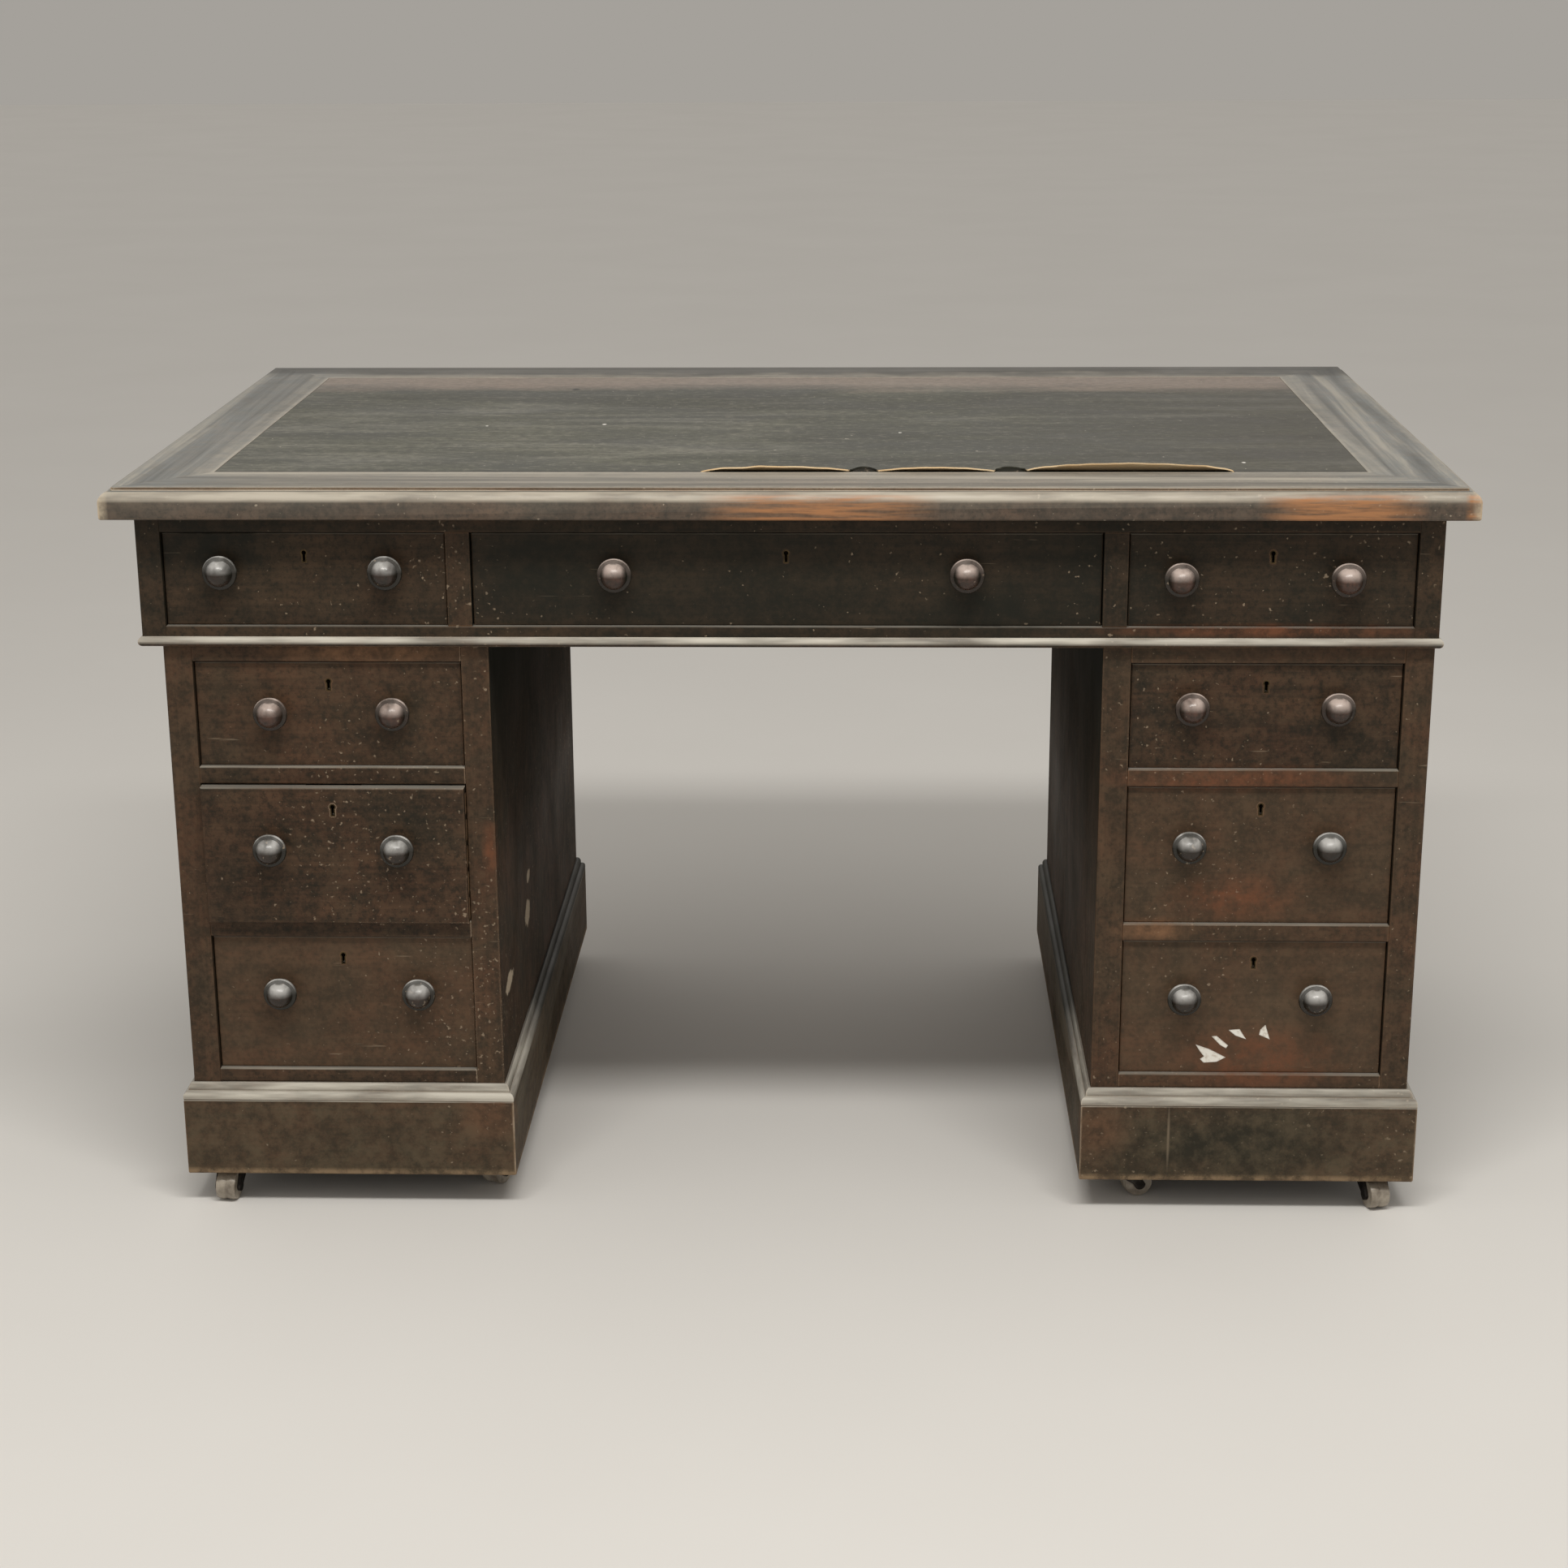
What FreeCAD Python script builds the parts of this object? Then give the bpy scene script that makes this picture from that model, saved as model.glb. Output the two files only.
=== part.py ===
import FreeCAD, Part
import math
import os

# Twin pedestal desk in millimetres. X runs along the front, Y towards the back, Z up from the floor.
# The origin is on the floor under the middle of the desk, and the drawers face -Y.

# Overall sizes
top_width = 1320.0
top_depth = 800.0
desk_height = 760.0
top_thickness = 30.0
frieze_setback = 27.0
frieze_height = 131.0
pedestal_width = 322.0
pedestal_shift = 8.0
pedestal_side_setback = 10.0
pedestal_front_setback = 6.0
plinth_height = 83.0
plinth_floor_gap = 35.0
plinth_projection = 10.0
cut_overrun = 2.0

# Top and leather
surround_width = 93.0
ground_thickness = 21.0
leather_thickness = 1.2
leather_sink = 0.3
leather_edge_gap = 0.5
edge_quirk_inset = 11.0
edge_quirk_drop = 3.0
edge_ovolo_drop = 10.0
edge_arris = 1.5

# Frieze carcase
frieze_end_thickness = 24.0
frieze_back_thickness = 20.0
frieze_top_rail_height = 17.0
frieze_bottom_rail_height = 20.5
rail_depth = 60.0
divider_width = 24.0
centre_opening_width = 614.0
bead_height = 10.0
bead_projection = 4.0
guide_height = 20.0

# Pedestal carcases
side_thickness = 28.0
back_thickness = 14.0
top_board_thickness = 17.0
bottom_board_thickness = 15.0
foot_rail_depth = 18.0
rail_height = 18.0
top_opening_height = 108.0
runner_width = 24.0
locating_block_depth = 30.0
locating_block_height = 14.0
locating_block_inset = 55.0
locating_clearance = 1.0

# Plinths
plinth_board_thickness = 18.0
plinth_moulding_height = 16.5
moulding_fillet = 2.0
moulding_quirk = 1.0
moulding_foot = 2.0
moulding_step_share = 0.4

# Drawers
drawer_inset = 5.0
drawer_side_gap = 0.8
drawer_top_gap = 1.6
drawer_back_room = 80.0
front_thickness = 22.0
lining_thickness = 11.0
drawer_back_thickness = 10.0
drawer_back_drop = 8.0
side_drop = 4.0
bottom_thickness = 6.0
bottom_raise = 6.0
groove_depth = 5.0
dovetail_lap = 6.0
dovetail_pitch = 30.0
tail_tip_share = 0.8
tail_root_share = 0.6
stop_width = 34.0
stop_depth = 12.0
stop_height = 4.0
stop_place_shares = (0.25, 0.75)
ajar = 14.0

# Turned knobs
knob_radius = 17.0
knob_projection = 28.5
knob_shank_radius = 6.0
knob_shank_clearance = 0.05
knob_foot_radius = 11.0
knob_foot_height = 2.5
knob_neck_radius = 8.0
knob_neck_height = 7.0
knob_rim_low = 10.5
knob_rim_high = 14.5
knob_dome_radius = 13.0
knob_dome_height = 16.0
knob_groove = 0.8
knob_flare_share = 0.6

# Drawer locks
lock_width = 56.0
lock_height = 38.0
lock_depth = 12.0
lock_back_wall = 3.0
bolt_width = 22.0
bolt_thickness = 6.0
bolt_length = 14.0
bolt_throw = 7.0
bolt_clearance = 0.3
strike_clearance = 0.7
keyhole_drop = 23.0
keyhole_radius = 2.2
keyhole_slot_width = 2.6
keyhole_height = 11.0
key_reach = 6.0
escutcheon_wall = 1.2
escutcheon_depth = 4.0

# Casters
caster_inset = 40.0
caster_height = 50.0
caster_trail = 24.0
wheel_radius = 15.0
wheel_width = 20.0
wheel_groove_depth = 1.0
wheel_side_gap = 0.5
wheel_top_gap = 2.5
axle_radius = 2.5
running_clearance = 0.05
cheek_thickness = 3.0
cheek_boss_radius = 6.0
horn_half_length = 9.0
horn_back_height = 33.0
horn_play = 0.3
pivot_radius = 5.0
pivot_head_radius = 7.0
pivot_head_height = 3.0
pivot_room = 1.0
plate_thickness = 3.0
plate_half_width = 20.0

# Places of the two knobs along each drawer front, from its left end
knob_shares = {
    "left_frieze": (0.209, 0.789),
    "centre_frieze": (0.229, 0.785),
    "right_frieze": (0.182, 0.757),
    "left_top": (0.285, 0.741),
    "left_middle": (0.263, 0.743),
    "left_bottom": (0.258, 0.791),
    "right_top": (0.227, 0.761),
    "right_middle": (0.235, 0.756),
    "right_bottom": (0.238, 0.734),
}

# Places of the knobs down each drawer front, from its top; the fronts were drilled by eye
knob_drop_shares = {
    "left_frieze": 0.398,
    "centre_frieze": 0.422,
    "right_frieze": 0.463,
    "left_top": 0.465,
    "left_middle": 0.428,
    "left_bottom": 0.403,
    "right_top": 0.399,
    "right_middle": 0.413,
    "right_bottom": 0.407,
}

# Degrees that each caster has turned from trailing straight to the front
caster_headings = {
    "left_front_outer": -6.0,
    "left_front_inner": 152.0,
    "left_back_outer": 12.0,
    "left_back_inner": -35.0,
    "right_front_outer": 14.0,
    "right_front_inner": 105.0,
    "right_back_outer": -15.0,
    "right_back_inner": 40.0,
}

# Derived levels and faces
top_underside = desk_height - top_thickness
frieze_foot = top_underside - frieze_height
frieze_half_width = top_width / 2 - frieze_setback
frieze_half_depth = top_depth / 2 - frieze_setback
frieze_back_face = frieze_half_depth - frieze_back_thickness
frieze_sill = frieze_foot + frieze_bottom_rail_height
frieze_head = top_underside - frieze_top_rail_height
pedestal_half_depth = frieze_half_depth - pedestal_front_setback
pedestal_back_face = pedestal_half_depth - back_thickness
pedestal_centre = frieze_half_width - pedestal_side_setback - pedestal_width / 2
opening_half_width = pedestal_width / 2 - side_thickness
plinth_top = plinth_floor_gap + plinth_height
bottom_board_level = plinth_top + plinth_moulding_height
pedestal_sill = bottom_board_level + bottom_board_thickness
pedestal_head = frieze_foot - top_board_thickness
top_sill = pedestal_head - top_opening_height
lower_opening_height = (top_sill - pedestal_sill - 2 * rail_height) / 2
middle_sill = top_sill - rail_height - lower_opening_height
plinth_half_width = pedestal_width / 2 + plinth_projection
plinth_half_depth = pedestal_half_depth + plinth_projection
divider_centre = (centre_opening_width + divider_width) / 2
side_opening_inner = divider_centre + divider_width / 2
side_opening_outer = frieze_half_width - frieze_end_thickness


def point(x, y, z):
    return FreeCAD.Vector(x, y, z)


def board(x0, x1, y0, y1, z0, z1):
    """A board that is square to the frame, between two faces each way."""
    return Part.makeBox(x1 - x0, y1 - y0, z1 - z0, point(x0, y0, z0))


def outline_face(edges):
    return Part.Face(Part.Wire(edges))


def polygon_face(points):
    return Part.Face(Part.makePolygon(points + points[:1]))


def line(start, end):
    return Part.LineSegment(start, end).toShape()


def arc(start, middle, end):
    return Part.Arc(start, middle, end).toShape()


def ovolo(start, end):
    """A convex quarter curve in a YZ outline, from a high inner point to a low outer point."""
    lean = math.sqrt(2) / 2
    middle = point(0, start.y + (end.y - start.y) * lean, end.z + (start.z - end.z) * lean)
    return arc(start, middle, end)


def write_node(name, solids):
    Part.makeCompound(solids).exportStep(os.path.join("parts", name + ".step"))


def mitred_lengths(section, width, half_x, half_y, centre_x):
    """Four lengths of one moulding, mitred round a rectangle.

    The section is a face in the YZ plane with Y = 0 on the outermost edge, growing inwards.
    """
    box = section.BoundBox
    low = box.ZMin - cut_overrun
    high = box.ZMax + cut_overrun
    lengths = []
    for quarter in range(4):
        run, across = (half_x, half_y) if quarter % 2 == 0 else (half_y, half_x)
        length = section.copy()
        length.translate(point(-run, -across, 0))
        length = length.extrude(point(2 * run, 0, 0))
        mitre = polygon_face([
            point(-run, -across, low),
            point(run, -across, low),
            point(run - width, width - across, low),
            point(width - run, width - across, low),
        ]).extrude(point(0, 0, high - low))
        length = length.common(mitre).Solids[0]
        length.rotate(point(0, 0, 0), point(0, 0, 1), 90 * quarter)
        length.translate(point(centre_x, 0, 0))
        lengths.append(length)
    return lengths


def surround_section():
    foot_out = point(0, 0, top_underside + edge_arris)
    foot_in = point(0, edge_arris, top_underside)
    inner_foot = point(0, surround_width, top_underside)
    inner_head = point(0, surround_width, desk_height)
    quirk_head = point(0, edge_quirk_inset, desk_height)
    quirk_foot = point(0, edge_quirk_inset, desk_height - edge_quirk_drop)
    ovolo_foot = point(0, 0, desk_height - edge_quirk_drop - edge_ovolo_drop)
    return outline_face([
        line(foot_out, foot_in),
        line(foot_in, inner_foot),
        line(inner_foot, inner_head),
        line(inner_head, quirk_head),
        line(quirk_head, quirk_foot),
        ovolo(quirk_foot, ovolo_foot),
        line(ovolo_foot, foot_out),
    ])


def writing_top():
    """Four moulded surround boards round the ground panel that carries the leather."""
    solids = mitred_lengths(surround_section(), surround_width, top_width / 2, top_depth / 2, 0)
    half_x = top_width / 2 - surround_width
    half_y = top_depth / 2 - surround_width
    ground_top = desk_height - leather_sink - leather_thickness
    solids.append(board(-half_x, half_x, -half_y, half_y, ground_top - ground_thickness, ground_top))
    return solids


def leather_skiver():
    half_x = top_width / 2 - surround_width - leather_edge_gap
    half_y = top_depth / 2 - surround_width - leather_edge_gap
    skiver_top = desk_height - leather_sink
    return [board(-half_x, half_x, -half_y, half_y, skiver_top - leather_thickness, skiver_top)]


def bead_section():
    foot = point(0, bead_projection, frieze_foot)
    nose = point(0, 0, frieze_foot + bead_height / 2)
    head = point(0, bead_projection, frieze_foot + bead_height)
    return outline_face([arc(foot, nose, head), line(head, foot)])


def strike_slot(drawer):
    """The slot over a drawer that its lock bolt rises into, as long as the drawer stands open at rest."""
    face = drawer["front_plane"] + drawer_inset
    back = face + front_thickness - lock_back_wall + strike_clearance
    front = face + front_thickness - lock_back_wall - bolt_thickness - strike_clearance - drawer["open"]
    half = bolt_width / 2 + strike_clearance
    head = drawer["sill"] + drawer["height"]
    depth = bolt_throw - drawer_top_gap + strike_clearance
    return board(drawer["x"] - half, drawer["x"] + half, front, back, head - cut_overrun, head + depth)


def drawer_stops(drawer):
    """Two blocks on the rail that stop the back of the drawer's front."""
    stop_front = drawer["front_plane"] + drawer_inset + front_thickness
    stops = []
    for share in stop_place_shares:
        x = drawer["x"] + drawer["width"] * (share - 0.5)
        stops.append(board(
            x - stop_width / 2, x + stop_width / 2, stop_front, stop_front + stop_depth,
            drawer["sill"], drawer["sill"] + stop_height))
    return stops


def frieze_carcase(drawers):
    """Ends, back, rails, dividers, runners, guides, kickers, stops and the bead round the foot."""
    front = -frieze_half_depth
    rail_back = front + rail_depth
    inner = side_opening_outer
    bearer_half = divider_width / 2 + runner_width / 2
    guide_half = divider_width / 2
    solids = []
    for side in (-1, 1):
        ends = sorted((side * inner, side * frieze_half_width))
        solids.append(board(*ends, front, frieze_half_depth, frieze_foot, top_underside))
        strip = sorted((side * inner, side * (inner - runner_width)))
        solids.append(board(*strip, rail_back, frieze_back_face, frieze_foot, frieze_sill))
        solids.append(board(*strip, rail_back, frieze_back_face, frieze_head, top_underside))
        x = side * divider_centre
        divider = (x - guide_half, x + guide_half)
        bearer = (x - bearer_half, x + bearer_half)
        solids.append(board(*divider, front, rail_back, frieze_sill, frieze_head))
        solids.append(board(*bearer, rail_back, frieze_back_face, frieze_foot, frieze_sill))
        solids.append(board(*divider, rail_back, frieze_back_face, frieze_sill, frieze_sill + guide_height))
        solids.append(board(*bearer, rail_back, frieze_back_face, frieze_head, top_underside))
    solids.append(board(-inner, inner, frieze_back_face, frieze_half_depth, frieze_foot, top_underside))
    solids.append(board(-inner, inner, front, rail_back, frieze_foot, frieze_sill))
    top_rail = board(-inner, inner, front, rail_back, frieze_head, top_underside)
    for drawer in drawers:
        top_rail = top_rail.cut(strike_slot(drawer))
        solids.extend(drawer_stops(drawer))
    solids.append(top_rail.Solids[0])
    bead_half_x = frieze_half_width + bead_projection
    bead_half_y = frieze_half_depth + bead_projection
    solids.extend(mitred_lengths(bead_section(), bead_projection, bead_half_x, bead_half_y, 0))
    return solids


def pedestal_middle(side):
    """The upper part stands a little to the left on the two pedestals."""
    return pedestal_shift + (pedestal_centre if side == "right" else -pedestal_centre)


def pedestal_carcase(centre_x, drawers):
    """Sides, back, top and bottom boards, foot rail, drawer rails, runners, stops and locating blocks."""
    front = -pedestal_half_depth
    rail_back = front + rail_depth
    left = centre_x - opening_half_width
    right = centre_x + opening_half_width
    outer = pedestal_width / 2
    solids = [
        board(centre_x - outer, left, front, pedestal_half_depth, plinth_top, frieze_foot),
        board(right, centre_x + outer, front, pedestal_half_depth, plinth_top, frieze_foot),
        board(left, right, pedestal_back_face, pedestal_half_depth, plinth_top, frieze_foot),
        board(left, right, front, pedestal_back_face, bottom_board_level, pedestal_sill),
        board(left, right, front, front + foot_rail_depth, plinth_top, bottom_board_level),
    ]
    heads = [board(left, right, front, pedestal_back_face, pedestal_head, frieze_foot)]
    for sill in (top_sill, middle_sill):
        heads.append(board(left, right, front, rail_back, sill - rail_height, sill))
        for runner in ((left, left + runner_width), (right - runner_width, right)):
            solids.append(board(*runner, rail_back, pedestal_back_face, sill - rail_height, sill))
    for head, drawer in zip(heads, drawers):
        solids.append(head.cut(strike_slot(drawer)).Solids[0])
        solids.extend(drawer_stops(drawer))
    block_front = rail_depth - frieze_half_depth + locating_clearance
    block_back = frieze_back_face - locating_clearance
    block_top = frieze_foot + locating_block_height
    blocks = (
        (block_front, block_front + locating_block_depth),
        (block_back - locating_block_depth, block_back),
    )
    for block in blocks:
        solids.append(board(
            left + locating_block_inset, right - locating_block_inset, *block, frieze_foot, block_top))
    return solids


def plinth_moulding_section():
    step_in = plinth_projection * moulding_step_share
    step_level = plinth_top + plinth_moulding_height / 2
    head_level = plinth_top + plinth_moulding_height
    foot_out = point(0, 0, plinth_top)
    foot_in = point(0, plinth_projection, plinth_top)
    head_in = point(0, plinth_projection, head_level)
    head_out = point(0, plinth_projection - moulding_fillet, head_level)
    quirk_in = point(0, step_in + moulding_quirk, step_level)
    quirk_out = point(0, step_in, step_level)
    ovolo_foot = point(0, 0, plinth_top + moulding_foot)
    return outline_face([
        line(foot_out, foot_in),
        line(foot_in, head_in),
        line(head_in, head_out),
        ovolo(head_out, quirk_in),
        line(quirk_in, quirk_out),
        ovolo(quirk_out, ovolo_foot),
        line(ovolo_foot, foot_out),
    ])


def plinth_board_section():
    return polygon_face([
        point(0, 0, plinth_floor_gap),
        point(0, plinth_board_thickness, plinth_floor_gap),
        point(0, plinth_board_thickness, plinth_top),
        point(0, 0, plinth_top),
    ])


def caster_places(side):
    """Name and pivot of the four casters under one pedestal."""
    centre_x = pedestal_middle(side)
    outward = 1 if side == "right" else -1
    reach_x = plinth_half_width - caster_inset
    reach_y = plinth_half_depth - caster_inset
    places = []
    for row, way_y in (("front", -1), ("back", 1)):
        for column, way_x in (("outer", outward), ("inner", -outward)):
            pivot = (centre_x + way_x * reach_x, way_y * reach_y)
            places.append(("%s_%s_%s" % (side, row, column), pivot))
    return places


def corner_block(pivot):
    """A block glued in the plinth's corner, bored for the head of the caster's pivot."""
    half = caster_inset - plinth_board_thickness
    x, y = pivot
    block = board(x - half, x + half, y - half, y + half, caster_height, plinth_top)
    bore_depth = horn_play + pivot_head_height + pivot_room
    bore = Part.makeCylinder(
        pivot_head_radius + pivot_room, bore_depth + cut_overrun, point(x, y, caster_height - cut_overrun))
    return block.cut(bore).Solids[0]


def plinth(side):
    centre_x = pedestal_middle(side)
    solids = mitred_lengths(
        plinth_board_section(), plinth_board_thickness, plinth_half_width, plinth_half_depth, centre_x)
    solids += mitred_lengths(
        plinth_moulding_section(), plinth_projection, plinth_half_width, plinth_half_depth, centre_x)
    for name, pivot in caster_places(side):
        solids.append(corner_block(pivot))
    return solids


def caster_plate(pivot):
    x, y = pivot
    foot = caster_height - plate_thickness
    plate = board(
        x - plate_half_width, x + plate_half_width, y - plate_half_width, y + plate_half_width,
        foot, caster_height)
    hole = Part.makeCylinder(
        pivot_radius + running_clearance, plate_thickness + 2 * cut_overrun, point(x, y, foot - cut_overrun))
    return plate.cut(hole).Solids[0]


def caster_horn():
    """A forked horn that trails towards -Y from a pivot on the Z axis, with its axle riveted through."""
    crown_top = caster_height - plate_thickness - horn_play
    crown_foot = 2 * wheel_radius + wheel_top_gap
    half_slot = wheel_width / 2 + wheel_side_gap
    half_width = half_slot + cheek_thickness
    trail = caster_trail
    boss = cheek_boss_radius
    back_head = point(-half_width, horn_half_length, crown_top)
    front_head = point(-half_width, -horn_half_length, crown_top)
    boss_front = point(-half_width, -trail - boss, wheel_radius)
    boss_foot = point(-half_width, -trail, wheel_radius - boss)
    boss_back = point(-half_width, boss - trail, wheel_radius)
    back_foot = point(-half_width, horn_half_length, horn_back_height)
    horn = outline_face([
        line(back_head, front_head),
        line(front_head, boss_front),
        arc(boss_front, boss_foot, boss_back),
        line(boss_back, back_foot),
        line(back_foot, back_head),
    ]).extrude(point(2 * half_width, 0, 0))
    slot_reach = trail + wheel_radius + cut_overrun
    horn = horn.cut(board(-half_slot, half_slot, -slot_reach, slot_reach, 0, crown_foot))
    stem_top = caster_height + horn_play
    stem = Part.makeCylinder(pivot_radius, stem_top - crown_top, point(0, 0, crown_top))
    head = Part.makeCylinder(pivot_head_radius, pivot_head_height, point(0, 0, stem_top))
    axle_end = point(-half_width, -trail, wheel_radius)
    axle = Part.makeCylinder(axle_radius, 2 * half_width, axle_end, point(1, 0, 0))
    return horn.fuse([stem, head, axle]).removeSplitter().Solids[0]


def caster_wheel():
    """A roller with a shallow groove round its tread, bored for the axle."""
    half = wheel_width / 2
    bore = axle_radius + running_clearance
    rim = wheel_radius
    waist = wheel_radius - wheel_groove_depth
    section = outline_face([
        line(point(-half, bore, 0), point(half, bore, 0)),
        line(point(half, bore, 0), point(half, waist, 0)),
        arc(point(half, waist, 0), point(half / 2, rim, 0), point(0, waist, 0)),
        arc(point(0, waist, 0), point(-half / 2, rim, 0), point(-half, waist, 0)),
        line(point(-half, waist, 0), point(-half, bore, 0)),
    ])
    wheel = section.revolve(point(0, 0, 0), point(1, 0, 0), 360)
    wheel.translate(point(0, -caster_trail, wheel_radius))
    return wheel.Solids[0]


def set_caster(shape, name, pivot):
    """Turn a caster piece to its heading and put it under its corner."""
    shape.rotate(point(0, 0, 0), point(0, 0, 1), caster_headings[name])
    shape.translate(point(pivot[0], pivot[1], 0))
    return shape


def keyhole_prism(centre_x, centre_z, grow, y0, y1):
    """A keyhole with its round end up, grown by a wall, between two depths."""
    radius = keyhole_radius + grow
    half_slot = keyhole_slot_width / 2 + grow
    eye = centre_z + keyhole_height / 2 - keyhole_radius
    foot = centre_z - keyhole_height / 2 - grow
    round_end = Part.makeCylinder(radius, y1 - y0, point(centre_x, y0, eye), point(0, 1, 0))
    slot = board(centre_x - half_slot, centre_x + half_slot, y0, y1, foot, eye)
    return round_end.fuse(slot).removeSplitter().Solids[0]


def turned_knob(x, face, z):
    """A knob turned about Y: foot, neck, rim, groove and dome, with a shank through the front."""
    def at(radius, height):
        return point(radius, -height, 0)

    waist = (knob_foot_radius + knob_neck_radius) / 2
    waist_height = (knob_foot_height + knob_neck_height) / 2
    rim_middle = (knob_rim_low + knob_rim_high) / 2
    flare = (knob_neck_radius + knob_radius) / 2
    flare_height = knob_neck_height + (knob_rim_low - knob_neck_height) * knob_flare_share
    dome_rise = knob_projection - knob_dome_height
    sphere_radius = (knob_dome_radius ** 2 + dome_rise ** 2) / (2 * dome_rise)
    half_angle = math.asin(knob_dome_radius / sphere_radius) / 2
    dome_middle = at(
        sphere_radius * math.sin(half_angle), knob_projection - sphere_radius * (1 - math.cos(half_angle)))
    rim_start = at(knob_radius - knob_groove, knob_rim_low)
    rim_end = at(knob_radius - knob_groove, knob_rim_high)
    dome_foot = at(knob_dome_radius, knob_dome_height)
    groove = at(knob_dome_radius, knob_dome_height - knob_groove)
    section = outline_face([
        line(at(0, -front_thickness), at(knob_shank_radius, -front_thickness)),
        line(at(knob_shank_radius, -front_thickness), at(knob_shank_radius, 0)),
        line(at(knob_shank_radius, 0), at(knob_foot_radius, 0)),
        line(at(knob_foot_radius, 0), at(knob_foot_radius, knob_foot_height)),
        line(at(knob_foot_radius, knob_foot_height), at(waist, waist_height)),
        line(at(waist, waist_height), at(knob_neck_radius, knob_neck_height)),
        line(at(knob_neck_radius, knob_neck_height), at(flare, flare_height)),
        line(at(flare, flare_height), rim_start),
        arc(rim_start, at(knob_radius, rim_middle), rim_end),
        line(rim_end, groove),
        line(groove, dome_foot),
        arc(dome_foot, dome_middle, at(0, knob_projection)),
        line(at(0, knob_projection), at(0, -front_thickness)),
    ])
    knob = section.revolve(point(0, 0, 0), point(0, 1, 0), 360)
    knob.translate(point(x, face, z))
    return knob.Solids[0]


def dovetail_tails(x0, x1, shoulder, foot, height):
    """Tails on the front end of a drawer side, flaring into the drawer front."""
    count = max(2, round(height / dovetail_pitch))
    pitch = height / count
    tip = shoulder - (front_thickness - dovetail_lap)
    tails = []
    for index in range(count):
        middle = foot + pitch * (index + 0.5)
        tip_half = pitch * tail_tip_share / 2
        root_half = pitch * tail_root_share / 2
        tails.append(polygon_face([
            point(x0, shoulder, middle - root_half),
            point(x0, tip, middle - tip_half),
            point(x0, tip, middle + tip_half),
            point(x0, shoulder, middle + root_half),
        ]).extrude(point(x1 - x0, 0, 0)))
    return tails


def drawer_parts(drawer):
    """The solids of one drawer: its box, its two knobs, its lock with escutcheon, and its bolt."""
    x = drawer["x"]
    half = drawer["width"] / 2 - drawer_side_gap
    face = drawer["front_plane"] + drawer_inset - drawer["open"]
    shoulder = face + front_thickness
    rear = drawer["back_face"] - drawer_back_room - drawer["open"]
    foot = drawer["sill"]
    head = foot + drawer["height"] - drawer_top_gap
    lining_head = head - side_drop
    bottom_foot = foot + bottom_raise
    bottom_head = bottom_foot + bottom_thickness
    inner = half - lining_thickness
    reach = inner + groove_depth

    front = board(x - half, x + half, face, shoulder, foot, head)
    bottom = board(x - reach, x + reach, shoulder - groove_depth, rear, bottom_foot, bottom_head)
    back = board(
        x - inner, x + inner, rear - drawer_back_thickness, rear, bottom_head, lining_head - drawer_back_drop)
    linings = []
    for x0, x1 in ((x - half, x - inner), (x + inner, x + half)):
        tails = dovetail_tails(x0, x1, shoulder, foot, lining_head - foot)
        lining = board(x0, x1, shoulder, rear, foot, lining_head).fuse(tails).removeSplitter()
        front = front.cut(lining)
        linings.append(lining.cut(bottom).Solids[0])
    front = front.cut(bottom)

    lock_foot = head - lock_height
    lock_front = shoulder - lock_depth
    case = board(x - lock_width / 2, x + lock_width / 2, lock_front, shoulder, lock_foot, head)
    front = front.cut(case)
    bolt_back = shoulder - lock_back_wall
    bolt_front = bolt_back - bolt_thickness
    bolt_foot = head - bolt_length
    bolt_half = bolt_width / 2
    bolt = board(x - bolt_half, x + bolt_half, bolt_front, bolt_back, bolt_foot, head)
    channel_half = bolt_half + bolt_clearance
    case = case.cut(board(
        x - channel_half, x + channel_half, bolt_front - bolt_clearance, bolt_back + bolt_clearance,
        bolt_foot - bolt_clearance, head + cut_overrun))

    key_z = head - keyhole_drop
    inlay_back = face + escutcheon_depth
    escutcheon = keyhole_prism(x, key_z, escutcheon_wall, face, inlay_back)
    front = front.cut(escutcheon)
    keyway = keyhole_prism(x, key_z, 0, face - cut_overrun, lock_front + key_reach)
    front = front.cut(keyway)
    case = case.cut(keyway)
    escutcheon = escutcheon.cut(keyway)

    knobs = []
    knob_z = head - drawer["height"] * drawer["knob_drop"]
    for share in drawer["knob_shares"]:
        knob_x = x + drawer["width"] * (share - 0.5)
        knobs.append(turned_knob(knob_x, face, knob_z))
        hole_radius = knob_shank_radius + knob_shank_clearance
        hole_length = front_thickness + 2 * cut_overrun
        front = front.cut(Part.makeCylinder(
            hole_radius, hole_length, point(knob_x, face - cut_overrun, knob_z), point(0, 1, 0)))
    return {
        "box": [front.Solids[0]] + linings + [back, bottom],
        "knobs": knobs,
        "lock": [case.Solids[0], escutcheon.Solids[0]],
        "bolt": [bolt],
    }


def describe_drawer(name, x, width, sill, height, front_plane, back_face):
    return {
        "name": name,
        "x": x,
        "width": width,
        "sill": sill,
        "height": height,
        "front_plane": front_plane,
        "back_face": back_face,
        "knob_shares": knob_shares[name],
        "knob_drop": knob_drop_shares[name],
        "open": ajar if name == "left_middle" else 0.0,
    }


def frieze_drawers():
    side_x = (side_opening_inner + side_opening_outer) / 2
    side_width = side_opening_outer - side_opening_inner
    spans = (
        ("left", -side_x, side_width),
        ("centre", 0.0, centre_opening_width),
        ("right", side_x, side_width),
    )
    height = frieze_head - frieze_sill
    return [
        describe_drawer(
            place + "_frieze", x, width, frieze_sill, height, -frieze_half_depth, frieze_back_face)
        for place, x, width in spans
    ]


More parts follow.
